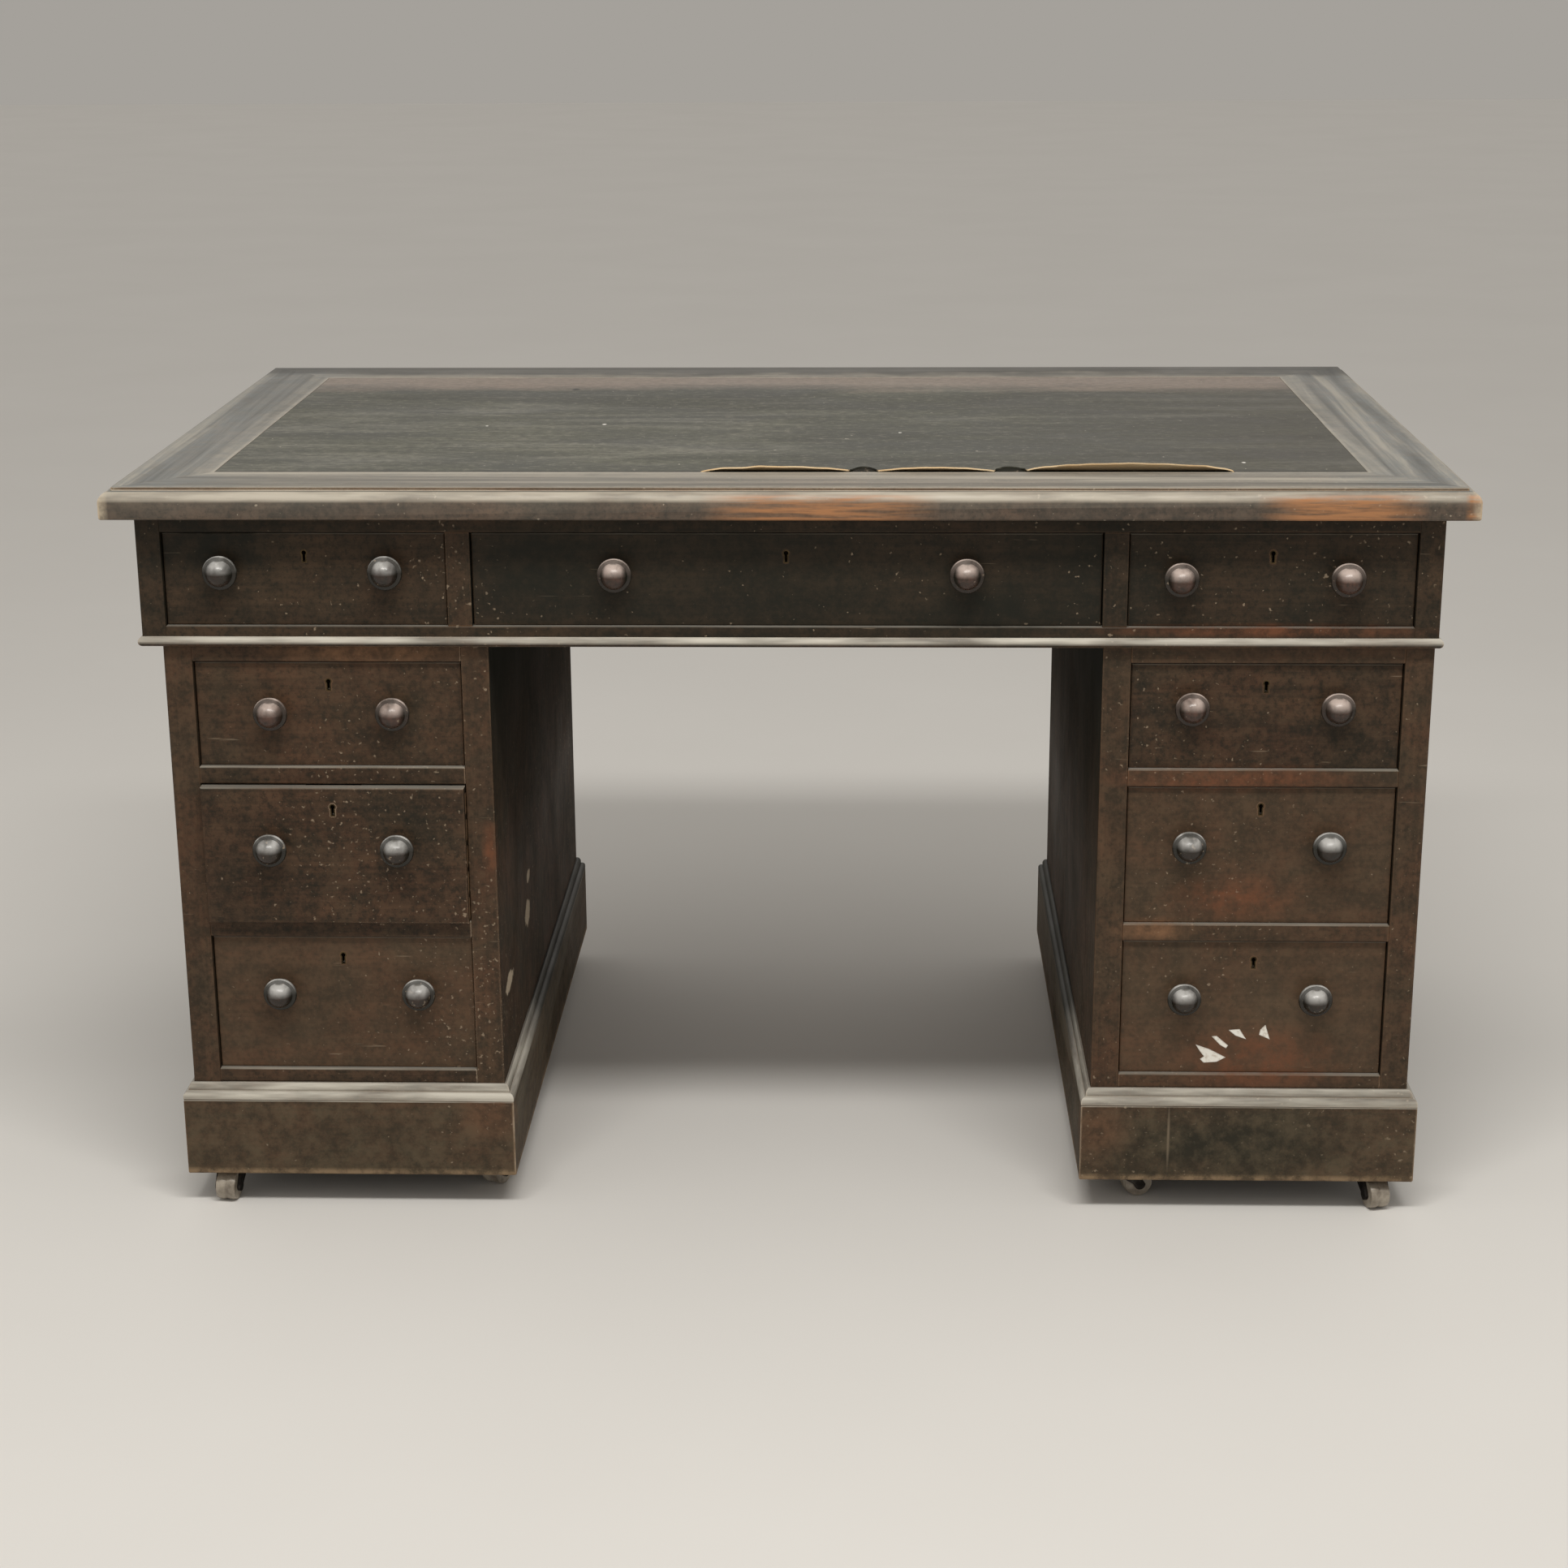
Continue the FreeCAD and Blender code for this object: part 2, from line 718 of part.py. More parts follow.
def pedestal_drawers(side):
    centre_x = pedestal_middle(side)
    rows = (
        ("top", top_sill, top_opening_height),
        ("middle", middle_sill, lower_opening_height),
        ("bottom", pedestal_sill, lower_opening_height),
    )
    return [
        describe_drawer(
            "%s_%s" % (side, row), centre_x, 2 * opening_half_width, sill, height,
            -pedestal_half_depth, pedestal_back_face)
        for row, sill, height in rows
    ]


def build():
    os.makedirs("parts", exist_ok=True)
    drawers = {
        "frieze": frieze_drawers(),
        "left": pedestal_drawers("left"),
        "right": pedestal_drawers("right"),
    }
    write_node("writing_top", writing_top())
    write_node("leather_skiver", leather_skiver())
    write_node("frieze_carcase", frieze_carcase(drawers["frieze"]))
    plates = []
    for side in ("left", "right"):
        write_node(side + "_pedestal_carcase", pedestal_carcase(pedestal_middle(side), drawers[side]))
        write_node(side + "_plinth", plinth(side))
        for name, pivot in caster_places(side):
            plates.append(caster_plate(pivot))
            write_node(name + "_caster_horn", [set_caster(caster_horn(), name, pivot)])
            write_node(name + "_caster_wheel", [set_caster(caster_wheel(), name, pivot)])
    write_node("caster_plates", plates)
    for group in drawers.values():
        for drawer in group:
            parts = drawer_parts(drawer)
            write_node(drawer["name"] + "_drawer_box", parts["box"])
            write_node(drawer["name"] + "_drawer_knobs", parts["knobs"])
            write_node(drawer["name"] + "_drawer_lock", parts["lock"])
            write_node(drawer["name"] + "_lock_bolt", parts["bolt"])


build()
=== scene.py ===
# %% [markdown]
# # A twin pedestal desk
# The desk is an old writing desk: a moulded top with a leather skiver, three drawers in the frieze and
# three in each pedestal. The boards come from the fixed frame at their real size. Here each one gets
# softened edges, its own grain and an old dark finish, and the soft and turned pieces are made anew.

# %% Load the frame
import math
import random

import bmesh
import bpy
from mathutils import Matrix, Vector, noise


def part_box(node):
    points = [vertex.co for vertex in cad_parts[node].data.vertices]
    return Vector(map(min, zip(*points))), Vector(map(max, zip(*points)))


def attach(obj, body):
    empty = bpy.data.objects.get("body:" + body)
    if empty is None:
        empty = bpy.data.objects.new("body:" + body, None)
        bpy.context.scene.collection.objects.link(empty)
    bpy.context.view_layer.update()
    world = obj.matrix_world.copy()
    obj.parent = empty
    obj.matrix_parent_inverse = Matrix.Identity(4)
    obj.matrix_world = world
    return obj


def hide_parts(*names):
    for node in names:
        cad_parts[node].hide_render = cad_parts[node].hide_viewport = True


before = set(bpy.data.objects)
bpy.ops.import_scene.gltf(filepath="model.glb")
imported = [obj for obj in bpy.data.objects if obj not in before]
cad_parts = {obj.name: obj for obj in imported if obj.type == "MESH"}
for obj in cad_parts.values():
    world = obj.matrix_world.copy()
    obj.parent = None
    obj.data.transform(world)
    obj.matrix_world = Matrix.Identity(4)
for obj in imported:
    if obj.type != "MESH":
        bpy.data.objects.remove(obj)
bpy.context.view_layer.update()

dice_seed = 7
dice = random.Random(dice_seed)
MM = 0.001


def placed(name, data):
    """A new object in the scene."""
    made = bpy.data.objects.new(name, data)
    bpy.context.collection.objects.link(made)
    return made


# %% [markdown]
# ## Camera, light and floor
# The camera stands where the photograph was taken from: a little right of the middle, above the top, and
# looking slightly down. Its place was found by lining up the desk's corners, so it is written as a
# position and three angles. One large panel overhead lights the desk as a bright ceiling does, and a strip
# above the front edge draws a highlight along the mouldings and leaves the frieze in the shade of the top.

# %% Camera
camera_place = Vector((0.0787, -3.0109, 1.2619))
camera_yaw = math.radians(-1.776)
camera_pitch = math.radians(16.912)
camera_roll = math.radians(-0.326)
focal_pixels = 3428.1
frame_pixels = 1932
sensor_width = 36


def camera_axes():
    """Right, up and forward of the photograph's camera."""
    forward = Vector((
        math.sin(camera_yaw) * math.cos(camera_pitch),
        math.cos(camera_yaw) * math.cos(camera_pitch),
        -math.sin(camera_pitch)))
    right = Vector((math.cos(camera_yaw), -math.sin(camera_yaw), 0))
    up = right.cross(forward)
    roll = Matrix.Rotation(-camera_roll, 3, forward)
    return roll @ right, roll @ up, forward


camera_data = bpy.data.cameras.new("camera")
camera_data.sensor_width = sensor_width
camera_data.lens = focal_pixels / frame_pixels * sensor_width
camera = placed("camera", camera_data)
right, up, forward = camera_axes()
camera.matrix_world = Matrix.Translation(camera_place) @ Matrix((right, up, -forward)).transposed().to_4x4()
bpy.context.scene.camera = camera
print("lens", round(camera_data.lens, 2))

# %% Lamps, world and floor
lamp_colour = (1.0, 0.98, 0.94)


def soft_lamp(name, place, target, size, power):
    lamp = bpy.data.lights.new(name, "AREA")
    lamp.shape = "RECTANGLE"
    lamp.size, lamp.size_y = size
    lamp.energy = power
    lamp.color = lamp_colour
    holder = placed(name, lamp)
    holder.location = place
    holder.rotation_euler = (Vector(target) - Vector(place)).to_track_quat("-Z", "Y").to_euler()


soft_lamp("ceiling_panel", (0, 0.5, 4.6), (0, 0.5, 0), (60.0, 60.0), 3200)
soft_lamp("key_strip", (0.1, -1.65, 2.9), (0, -0.3, 0.6), (2.4, 0.4), 60)

world = bpy.data.worlds.new("studio")
world.use_nodes = True
sky = world.node_tree.nodes["Background"]
sky.inputs["Color"].default_value = (1.0, 0.947, 0.871, 1)
seen_sky = 0.376
lighting_sky = 0.245


def dim_seen_sky(tree):
    """The sky that the eye meets is as dim as the far floor, so no horizon shows."""
    path = tree.nodes.new("ShaderNodeLightPath")
    seen = path.outputs["Is Camera Ray"]
    for ray in ("Is Glossy Ray", "Is Transmission Ray"):
        either = tree.nodes.new("ShaderNodeMath")
        either.operation = "MAXIMUM"
        tree.links.new(seen, either.inputs[0])
        tree.links.new(path.outputs[ray], either.inputs[1])
        seen = either.outputs[0]
    strength = tree.nodes.new("ShaderNodeMapRange")
    strength.inputs["To Min"].default_value = lighting_sky
    strength.inputs["To Max"].default_value = seen_sky
    tree.links.new(seen, strength.inputs["Value"])
    tree.links.new(strength.outputs[0], sky.inputs["Strength"])


dim_seen_sky(world.node_tree)
bpy.context.scene.world = world
bpy.context.scene.view_settings.view_transform = "Standard"

floor_half = 20.0
floor_corners = [(x * floor_half, y * floor_half, 0) for x, y in ((-1, -1), (1, -1), (1, 1), (-1, 1))]
floor_mesh = bpy.data.meshes.new("floor")
floor_mesh.from_pydata(floor_corners, [], [(0, 1, 2, 3)])
floor = placed("floor", floor_mesh)

# %% [markdown]
# ## A small helper for shader nodes
# Every finish is a node tree. Writing each node with its links takes many lines, so this helper adds a
# node, sets its inputs, and links an input when it is given another node's output. Constant values go
# straight to the shader's own sockets.

# %% Shader helper


class Finish:
    """One material and short ways to add nodes to it."""

    def __init__(self, name):
        self.material = bpy.data.materials.new(name)
        self.material.use_nodes = True
        self.tree = self.material.node_tree
        self.shader = self.tree.nodes["Principled BSDF"]

    def put(self, socket, value):
        if isinstance(value, bpy.types.NodeSocket):
            self.tree.links.new(value, socket)
        else:
            socket.default_value = (*value, 1) if socket.type == "RGBA" else value

    def node(self, kind, inputs=None, **settings):
        made = self.tree.nodes.new(kind)
        for name, value in settings.items():
            setattr(made, name, value)
        for key, value in (inputs or {}).items():
            self.put(made.inputs[key], value)
        return made

    def object_place(self):
        return self.node("ShaderNodeTexCoord").outputs["Object"]

    def attribute(self, name, output="Fac"):
        return self.node("ShaderNodeAttribute", attribute_name=name).outputs[output]

    def stretch(self, place, scale, turn=(0, 0, 0), shift=(0, 0, 0)):
        inputs = {"Vector": place, "Scale": scale, "Rotation": turn, "Location": shift}
        return self.node("ShaderNodeMapping", inputs).outputs[0]

    def noise(self, place, scale, detail=4, rough=0.55, distortion=0):
        inputs = {
            "Vector": place, "Scale": scale, "Detail": detail, "Roughness": rough, "Distortion": distortion}
        return self.node("ShaderNodeTexNoise", inputs).outputs[0]

    def cells(self, place, scale):
        return self.node("ShaderNodeTexVoronoi", {"Vector": place, "Scale": scale}).outputs["Distance"]

    def remap(self, value, low, high, to_low=0, to_high=1):
        inputs = {0: value, 1: low, 2: high, 3: to_low, 4: to_high}
        return self.node("ShaderNodeMapRange", inputs, clamp=True).outputs[0]

    def math(self, operation, first, second=0):
        return self.node("ShaderNodeMath", {0: first, 1: second}, operation=operation).outputs[0]

    def times(self, *factors):
        product = factors[0]
        for factor in factors[1:]:
            product = self.math("MULTIPLY", product, factor)
        return product

    def mix(self, share, first, second):
        made = self.node("ShaderNodeMix", data_type="RGBA")
        self.put(made.inputs[0], share)
        self.put(made.inputs[6], first)
        self.put(made.inputs[7], second)
        return made.outputs[2]

    def coats(self, body, *coats):
        """Lay coats over a colour, each a share and the coat's own colour."""
        for share, colour in coats:
            body = self.mix(share, body, colour)
        return body

    def bump(self, height, strength, distance):
        inputs = {"Height": height, "Strength": strength, "Distance": distance}
        return self.node("ShaderNodeBump", inputs).outputs[0]

    def axis(self, vector, name):
        return self.node("ShaderNodeSeparateXYZ", {0: vector}).outputs[name]

    def upward(self):
        return self.axis(self.node("ShaderNodeNewGeometry").outputs["Normal"], "Z")

    def sideways(self):
        return self.axis(self.node("ShaderNodeNewGeometry").outputs["Normal"], "X")

    def edge(self, radius):
        """How close a point is to an edge, from the turn of a softened normal."""
        soft = self.node("ShaderNodeBevel", {"Radius": radius}, samples=6).outputs[0]
        true = self.node("ShaderNodeNewGeometry").outputs["True Normal"]
        agreed = self.node("ShaderNodeVectorMath", {0: soft, 1: true}, operation="DOT_PRODUCT")
        return self.math("SUBTRACT", 1, agreed.outputs["Value"])

    def set(self, **inputs):
        for name, value in inputs.items():
            self.put(self.shader.inputs[name.replace("_", " ")], value)
        return self.material


def pale_floor():
    f = Finish("pale_floor")
    place = f.object_place()
    body = f.mix(f.noise(place, 1.7, 4), (0.70, 0.68, 0.65), (0.75, 0.73, 0.70))
    return f.set(Base_Color=body, Roughness=0.8, Specular_IOR_Level=0.2)


floor.data.materials.append(pale_floor())
print("floor", floor.name)

# %% [markdown]
# ## The old stained wood
# The real finish is a dark stain that has aged for a century: brown where it is thin, greenish black where
# polish has built up, red where hands have rubbed it, pale on the arrises. One finish serves all boards,
# because each board carries its own grain coordinates, tone and rub as attributes; the rub also sets a
# painted highlight. The edges come from the softened normal, so wear follows every arris without a picture.
# Faces that turn up to the light get a painted highlight, strongest on the mouldings, and upward flats get
# dust with a painted sheen; the share of the normal that points up picks them out. Faces that point sideways
# are painted darker, a painted shade that is deepest high in the kneehole. Patches that belong to one place,
# such as the red wear on a rail, are ovals given by their middle and half size.

# %% Stained wood
RED_PATCHES = (
    (0.48, 0.162, 0.09, 0.04), (-0.307, 0.102, 0.035, 0.03), (0.318, 0.089, 0.035, 0.03),
    (0.445, 0.463, 0.13, 0.015), (-0.299, 0.387, 0.008, 0.035), (0.47, 0.616, 0.17, 0.007),
    (0.447, 0.337, 0.07, 0.025))
WORN_PATCHES = ((0.371, 0.305, 0.045, 0.013), (-0.415, 0.592, 0.11, 0.013))
BLACK_PATCHES = (
    (-0.245, 0.672, 0.08, 0.05), (0.2, 0.635, 0.07, 0.035), (0.45, 0.076, 0.14, 0.045),
    (-0.56, 0.7, 0.09, 0.04))
PALE_SCRATCHES = ((0.389, 0.083, 0.0016, 0.036), (0.341, 0.13, 0.02, 0.0016))
FLANK_CHIPS = ((-0.3, 0.222, 0.05, 0.018), (-0.137, 0.24, 0.036, 0.028), (-0.12, 0.277, 0.026, 0.012))
SLEEVE_RUBS = ((0.033, 0.093), (0.53, 0.066), (0.654, 0.008))
# Bands round the leather, each a start and end beyond its edge, a share and a colour. The pale bands are a
# painted highlight and sheen, the innermost partly a worn arris; one band is dark.
TOP_BANDS = (
    (1 * MM, 3.5 * MM, 0.65, "painted_highlight"), (3 * MM, 22 * MM, 0.22, "painted_highlight"),
    (58 * MM, 70 * MM, 0.35, "black"), (75 * MM, 82 * MM, 0.3, "painted_highlight"))
BAND_SOFT = 1.5 * MM
# The last of these colours is a cool painted sheen on the ends of the top.
PLINTH_BLOOM, FOOT_WEAR, PAINTED_END_SHEEN = (0.12, 0.1, 0.062), (0.26, 0.18, 0.105), (0.15, 0.165, 0.168)
SHOW_FRONT = (-0.355, -0.345)
PLINTH_TOP = (0.11, 0.122)
PLINTH_FOOT = (0.0385, 0.043)
TOP_FACE = (-0.3985, -0.3955)


def oval(f, place, middle, half, hardness):
    """How strongly an oval covers a point; half is zero along the axis that it ignores."""
    scale = [1 / size if size else 0 for size in half]
    off = f.stretch(place, scale, shift=[-at * by for at, by in zip(middle, scale)])
    reach = f.node("ShaderNodeVectorMath", {0: off}, operation="LENGTH").outputs["Value"]
    return f.remap(reach, hardness, 1.15, 1, 0)


def patches(f, place, ovals):
    """How strongly some ovals on the front cover a point; each is x, z, half width and half height."""
    total = 0
    for x, z, wide, high in ovals:
        total = f.math("MAXIMUM", total, oval(f, place, (x, 0, z), (wide, 0, high), 0.3))
    return f.times(total, f.remap(f.axis(place, "Y"), *SHOW_FRONT, 1, 0))


def front_marks(f, place, body, mottle, stain):
    """Red wear and black polish on the show front, a worn plinth foot, and bare chips inside the kneehole."""
    red = f.times(patches(f, place, RED_PATCHES), f.remap(mottle, 0.36, 0.58, 0.8, 0.2))
    worn = f.times(patches(f, place, WORN_PATCHES), f.remap(mottle, 0.36, 0.58, 0.85, 0.3))
    black = f.times(patches(f, place, BLACK_PATCHES), f.remap(mottle, 0.35, 0.6, 0.45, 0.9))
    scratched = f.times(patches(f, place, PALE_SCRATCHES), 0.55)
    height = f.axis(place, "Z")
    bloom = f.times(f.remap(height, *PLINTH_TOP, 1, 0), f.remap(mottle, 0.36, 0.6, 0.4, 0.1))
    foot = f.times(f.remap(height, *PLINTH_FOOT, 0.85, 0), f.remap(mottle, 0.42, 0.58, 1, 0.2))
    body = f.coats(
        body, (red, stain["rubbed"]), (worn, stain["worn"]), (black, stain["black"]),
        (scratched, stain["fleck"]), (bloom, PLINTH_BLOOM), (foot, FOOT_WEAR))
    kneehole_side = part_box("left_pedestal_carcase")[1].x
    off_side = f.math("ABSOLUTE", f.math("SUBTRACT", f.axis(place, "X"), kneehole_side))
    on_side = f.remap(off_side, 2 * MM, 4 * MM, 1, 0)
    for y, z, long, high in FLANK_CHIPS:
        ragged = f.math("ADD", oval(f, place, (0, y, z), (0, long, high), 0), mottle)
        body = f.mix(f.times(f.remap(ragged, 0.98, 1.08), on_side), body, stain["pale"])
    return body


def moulding_kneehole_shade(f, place, body, mottle, stain):
    """Inside the kneehole the plinth mouldings are mixed towards black further back, a painted shade over
    their painted highlight.
    """
    inside = f.remap(f.math("ABSOLUTE", f.axis(place, "X")), 0.33, 0.36, 1, 0)
    low = f.remap(f.axis(place, "Z"), 0.2, 0.25, 1, 0)
    deep = f.remap(f.axis(place, "Y"), -0.26, -0.12, 0, 0.9)
    return f.mix(f.times(inside, low, deep), body, stain["black"])


def top_marks(f, place, body, mottle, stain):
    """Orange wood where sleeves rubbed the front, a dark back, a cool painted sheen on the ends, dark streaks
    with painted pale ones, and bands round the leather, the pale ones a painted highlight.
    """
    along, back = f.axis(place, "X"), f.axis(place, "Y")
    ends = f.math("ABSOLUTE", along)
    flat = f.remap(f.upward(), 0.9, 0.98)
    streak = f.noise(f.stretch(place, (14, 14, 200)), 1, 4, 0.6)
    # A cool painted sheen on the upward flats at both ends.
    end_sheen_mask = f.times(f.remap(ends, 0.5, 0.62), flat, f.remap(mottle, 0.35, 0.6, 0.3, 0.7))
    grain = f.attribute("grain", "Vector")
    # Dark streaks along the grain, and pale ones that are a painted sheen.
    lines = f.noise(f.stretch(grain, (1.4, 46, 46)), 1, 5, 0.65, 0.7)
    body = f.coats(
        body, (end_sheen_mask, PAINTED_END_SHEEN), (f.times(flat, f.remap(lines, 0.5, 0.66, 0, 0.5)), stain["black"]),
        (f.times(flat, f.remap(lines, 0.35, 0.48, 0.5, 0)), stain["painted_highlight"]))
    half_x, half_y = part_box("leather_skiver")[1].x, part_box("leather_skiver")[1].y
    beyond_ends = f.math("SUBTRACT", ends, half_x)
    beyond_sides = f.math("SUBTRACT", f.math("ABSOLUTE", back), half_y)
    outside = f.math("MAXIMUM", beyond_ends, beyond_sides)
    for low, high, share, colour in TOP_BANDS:
        risen = f.remap(outside, low - BAND_SOFT, low + BAND_SOFT)
        band = f.times(risen, f.remap(outside, high - BAND_SOFT, high + BAND_SOFT, 1, 0), flat)
        body = f.mix(f.times(band, f.remap(mottle, 0.36, 0.62, share, 0.4 * share)), body, stain[colour])
    wander = f.math("ADD", back, f.times(f.math("SUBTRACT", f.noise(place, 14, 4), 0.5), 0.09))
    body = f.mix(f.times(f.remap(wander, 0.315, 0.35), 0.8), body, stain["black"])
    face = f.remap(back, *TOP_FACE, 1, 0)
    for centre, half in SLEEVE_RUBS:
        off = f.math("ABSOLUTE", f.math("SUBTRACT", along, centre))
        bare = f.times(f.remap(off, half * 0.6, half * 1.25, 1, 0), face)
        body = f.mix(f.times(bare, f.remap(streak, 0.4, 0.6, 1, 0.2)), body, stain["rubbed"])
    corner = f.times(f.remap(ends, 0.65, 0.657), f.remap(back, -0.394, -0.388, 1, 0))
    return f.mix(f.times(corner, f.remap(mottle, 0.36, 0.6, 0.85, 0.3)), body, stain["pale"])


def stained_wood(
        name, stain, dust_and_sheen_share, rough, shine, painted_highlight_share, painted_highlight_from=(0, 0.35), worn_edges=1, marks=None):
    """Old stained wood; stain holds its colours, among them a painted highlight and dust with a painted
    sheen, and marks adds the wear, and the painted shade and sheen, that belong to one place.
    """
    f = Finish(name)
    grain = f.attribute("grain", "Vector")
    tone = f.attribute("tone")
    rub_and_highlight = f.attribute("rub_and_highlight")
    place = f.object_place()
    fibre = f.noise(f.stretch(grain, (5, 170, 170)), 1, 5, 0.6, 0.4)
    figure = f.noise(f.stretch(grain, (2.2, 26, 26)), 1, 5, 0.6, 1.4)
    cloud = f.noise(place, 6.5, 6, 0.62, 0.4)
    bloom = f.noise(f.stretch(place, (1, 1, 1.3), (0.4, 0.2, 0.9)), 10, 5, 0.65, 0.8)
    mottle = f.noise(place, 52, 6, 0.7)
    pore = f.noise(place, 190, 4, 0.7)
    redness = f.times(f.remap(bloom, 0.38, 0.72), f.remap(tone, 0.1, 0.85, 0.1, 0.85))
    blackness = f.times(f.remap(cloud, 0.4, 0.76), f.remap(tone, 0.1, 1, 0.95, 0.4))
    thin = f.math("MAXIMUM", f.remap(mottle, 0.34, 0.47, 1, 0), f.remap(pore, 0.36, 0.46, 0.8, 0))
    tanned = f.times(f.remap(tone, 0.55, 1, 0, 0.5), f.remap(cloud, 0.3, 0.7, 0.9, 0.45))
    body = f.coats(
        stain["dark"], (f.remap(figure, 0.26, 0.74), stain["brown"]), (redness, stain["red"]),
        (blackness, stain["black"]), (f.remap(mottle, 0.46, 0.68, 0, 0.6), stain["black"]),
        (f.remap(pore, 0.5, 0.64, 0, 0.6), stain["black"]),
        (f.remap(fibre, 0.42, 0.7, 0, 0.45), stain["black"]),
        (f.times(thin, f.remap(tone, 0, 1, 0.2, 0.6)), stain["brown"]),
        (f.remap(tone, 0, 0.4, 0.55, 0), stain["black"]), (tanned, stain["tan"]))
    patchy = f.noise(place, 4.2, 3, 0.5)
    reach = f.math("ADD", f.times(f.remap(patchy, 0.4, 0.72), 0.55), f.times(rub_and_highlight, 0.6))
    near = f.times(f.remap(f.edge(0.004), 0.015, 0.28), reach, worn_edges)
    wear = f.remap(f.math("ADD", near, f.times(mottle, 0.55)), 0.52, 0.8)
    raw = f.remap(f.math("ADD", near, f.times(mottle, 0.5)), 0.8, 1)
    scratch = f.noise(f.stretch(place, (18, 240, 240), (0.3, 0.5, 0.35)), 1, 2, 0.5)
    speck = f.math("ADD", f.noise(place, 210, 2, 0.5), f.times(patchy, 0.35))
    flecks = f.math("MAXIMUM", f.remap(scratch, 0.74, 0.79, 0, 0.35), f.remap(speck, 0.87, 0.93, 0, 0.7))
    up = f.upward()
    # Upward flats get dust and a painted sheen, in one colour.
    upward_dust_and_sheen = f.times(f.remap(up, 0.88, 0.98), f.remap(cloud, 0.25, 0.7, 0.55, 1), f.remap(rub_and_highlight, 0.05, 0.3))
    # A painted highlight on faces that turn up to the light, broken up along the grain and stronger on boards
    # with more rub.
    facing = f.times(f.remap(up, *painted_highlight_from), f.remap(up, 0.93, 0.985, 1, 0.15))
    run = f.noise(f.stretch(grain, (8, 60, 60)), 1, 3, 0.6)
    painted_highlight_mask = f.times(facing, f.remap(rub_and_highlight, 0.25, 0.8), f.remap(run, 0.36, 0.62, 0.35, 1))
    # Faces that point sideways are mixed towards black, a painted shade; inside the kneehole it is lighter
    # low down and nearly black high up.
    flank = f.remap(f.math("ABSOLUTE", f.sideways()), 0.6, 0.95)
    in_kneehole = f.remap(f.math("ABSOLUTE", f.axis(place, "X")), 0.35, 0.4, 1, 0)
    shade = f.times(in_kneehole, f.remap(f.axis(place, "Z"), 0.3, 0.56, -0.4, 0.34))
    body = f.coats(
        body, (f.times(wear, 0.8), stain["worn"]), (f.times(raw, 0.75), stain["pale"]),
        (flecks, stain["fleck"]), (f.times(upward_dust_and_sheen, dust_and_sheen_share), stain["dust_and_sheen"]),
        (f.times(painted_highlight_mask, painted_highlight_share), stain["painted_highlight"]),
        (f.times(flank, f.math("ADD", shade, 0.62)), stain["black"]))
    if marks:
        body = marks(f, place, body, mottle, stain)
    gloss = f.remap(f.math("ADD", cloud, f.times(fibre, 0.4)), 0.4, 1, rough - 0.1, rough + 0.14)
    gloss = f.math("ADD", gloss, f.times(flank, f.remap(f.axis(place, "Z"), 0.3, 0.45, 0.08, 0.4)))
    height = f.math("ADD", f.times(fibre, 0.5), f.times(mottle, 0.35))
    mirror = f.times(f.remap(flank, 0, 1, shine, 0.2 * shine), f.remap(rub_and_highlight, 0, 0.3, 0.3, 1))
    return f.set(
        Base_Color=body, Roughness=gloss, Normal=f.bump(height, 0.35, 0.0006), Specular_IOR_Level=mirror)


# In each stain, one colour is a painted highlight for faces turned up to the light, and one is dust with a
# painted sheen for upward flats.
CARCASE_STAIN = {
    "dark": (0.034, 0.0235, 0.0155), "brown": (0.092, 0.058, 0.034), "red": (0.125, 0.05, 0.026),
    "black": (0.0135, 0.0135, 0.0095), "worn": (0.22, 0.115, 0.06), "rubbed": (0.17, 0.064, 0.031),
    "tan": (0.15, 0.1, 0.06), "fleck": (0.3, 0.23, 0.16), "pale": (0.46, 0.38, 0.28),
    "dust_and_sheen": (0.3, 0.285, 0.25), "painted_highlight": (0.4, 0.37, 0.31)}
MOULDING_STAIN = dict(CARCASE_STAIN, painted_highlight=(0.575, 0.54, 0.465))
KNOB_STAIN = dict(
    CARCASE_STAIN, dark=(0.018, 0.0135, 0.011), brown=(0.042, 0.027, 0.02), red=(0.07, 0.032, 0.023),
    painted_highlight=(0.54, 0.53, 0.51))
RED_KNOB_STAIN = dict(
    KNOB_STAIN, dark=(0.04, 0.022, 0.017), brown=(0.1, 0.05, 0.036), red=(0.15, 0.062, 0.042),
    painted_highlight=(0.56, 0.46, 0.41))
TOP_STAIN = {
    "dark": (0.076, 0.063, 0.05), "brown": (0.145, 0.108, 0.08), "red": (0.18, 0.1, 0.062),
    "black": (0.034, 0.033, 0.028), "worn": (0.36, 0.22, 0.12), "rubbed": (0.38, 0.18, 0.08),
    "tan": (0.16, 0.12, 0.085), "fleck": (0.4, 0.34, 0.26), "pale": (0.58, 0.49, 0.36),
    "dust_and_sheen": (0.25, 0.235, 0.2), "painted_highlight": (0.46, 0.415, 0.34)}
carcase_finish = stained_wood(
    "old_stained_wood", CARCASE_STAIN, dust_and_sheen_share=0.7, rough=0.46, shine=0.16, painted_highlight_share=0.9, marks=front_marks)
# The mouldings get the brightest painted highlight, reaching down over their rounded faces.
moulding_finish = stained_wood(
    "moulding_wood_painted_highlight", MOULDING_STAIN, dust_and_sheen_share=0.7, rough=0.42, shine=0.2, painted_highlight_share=0.95,
    painted_highlight_from=(-0.5, 0.1), marks=moulding_kneehole_shade)
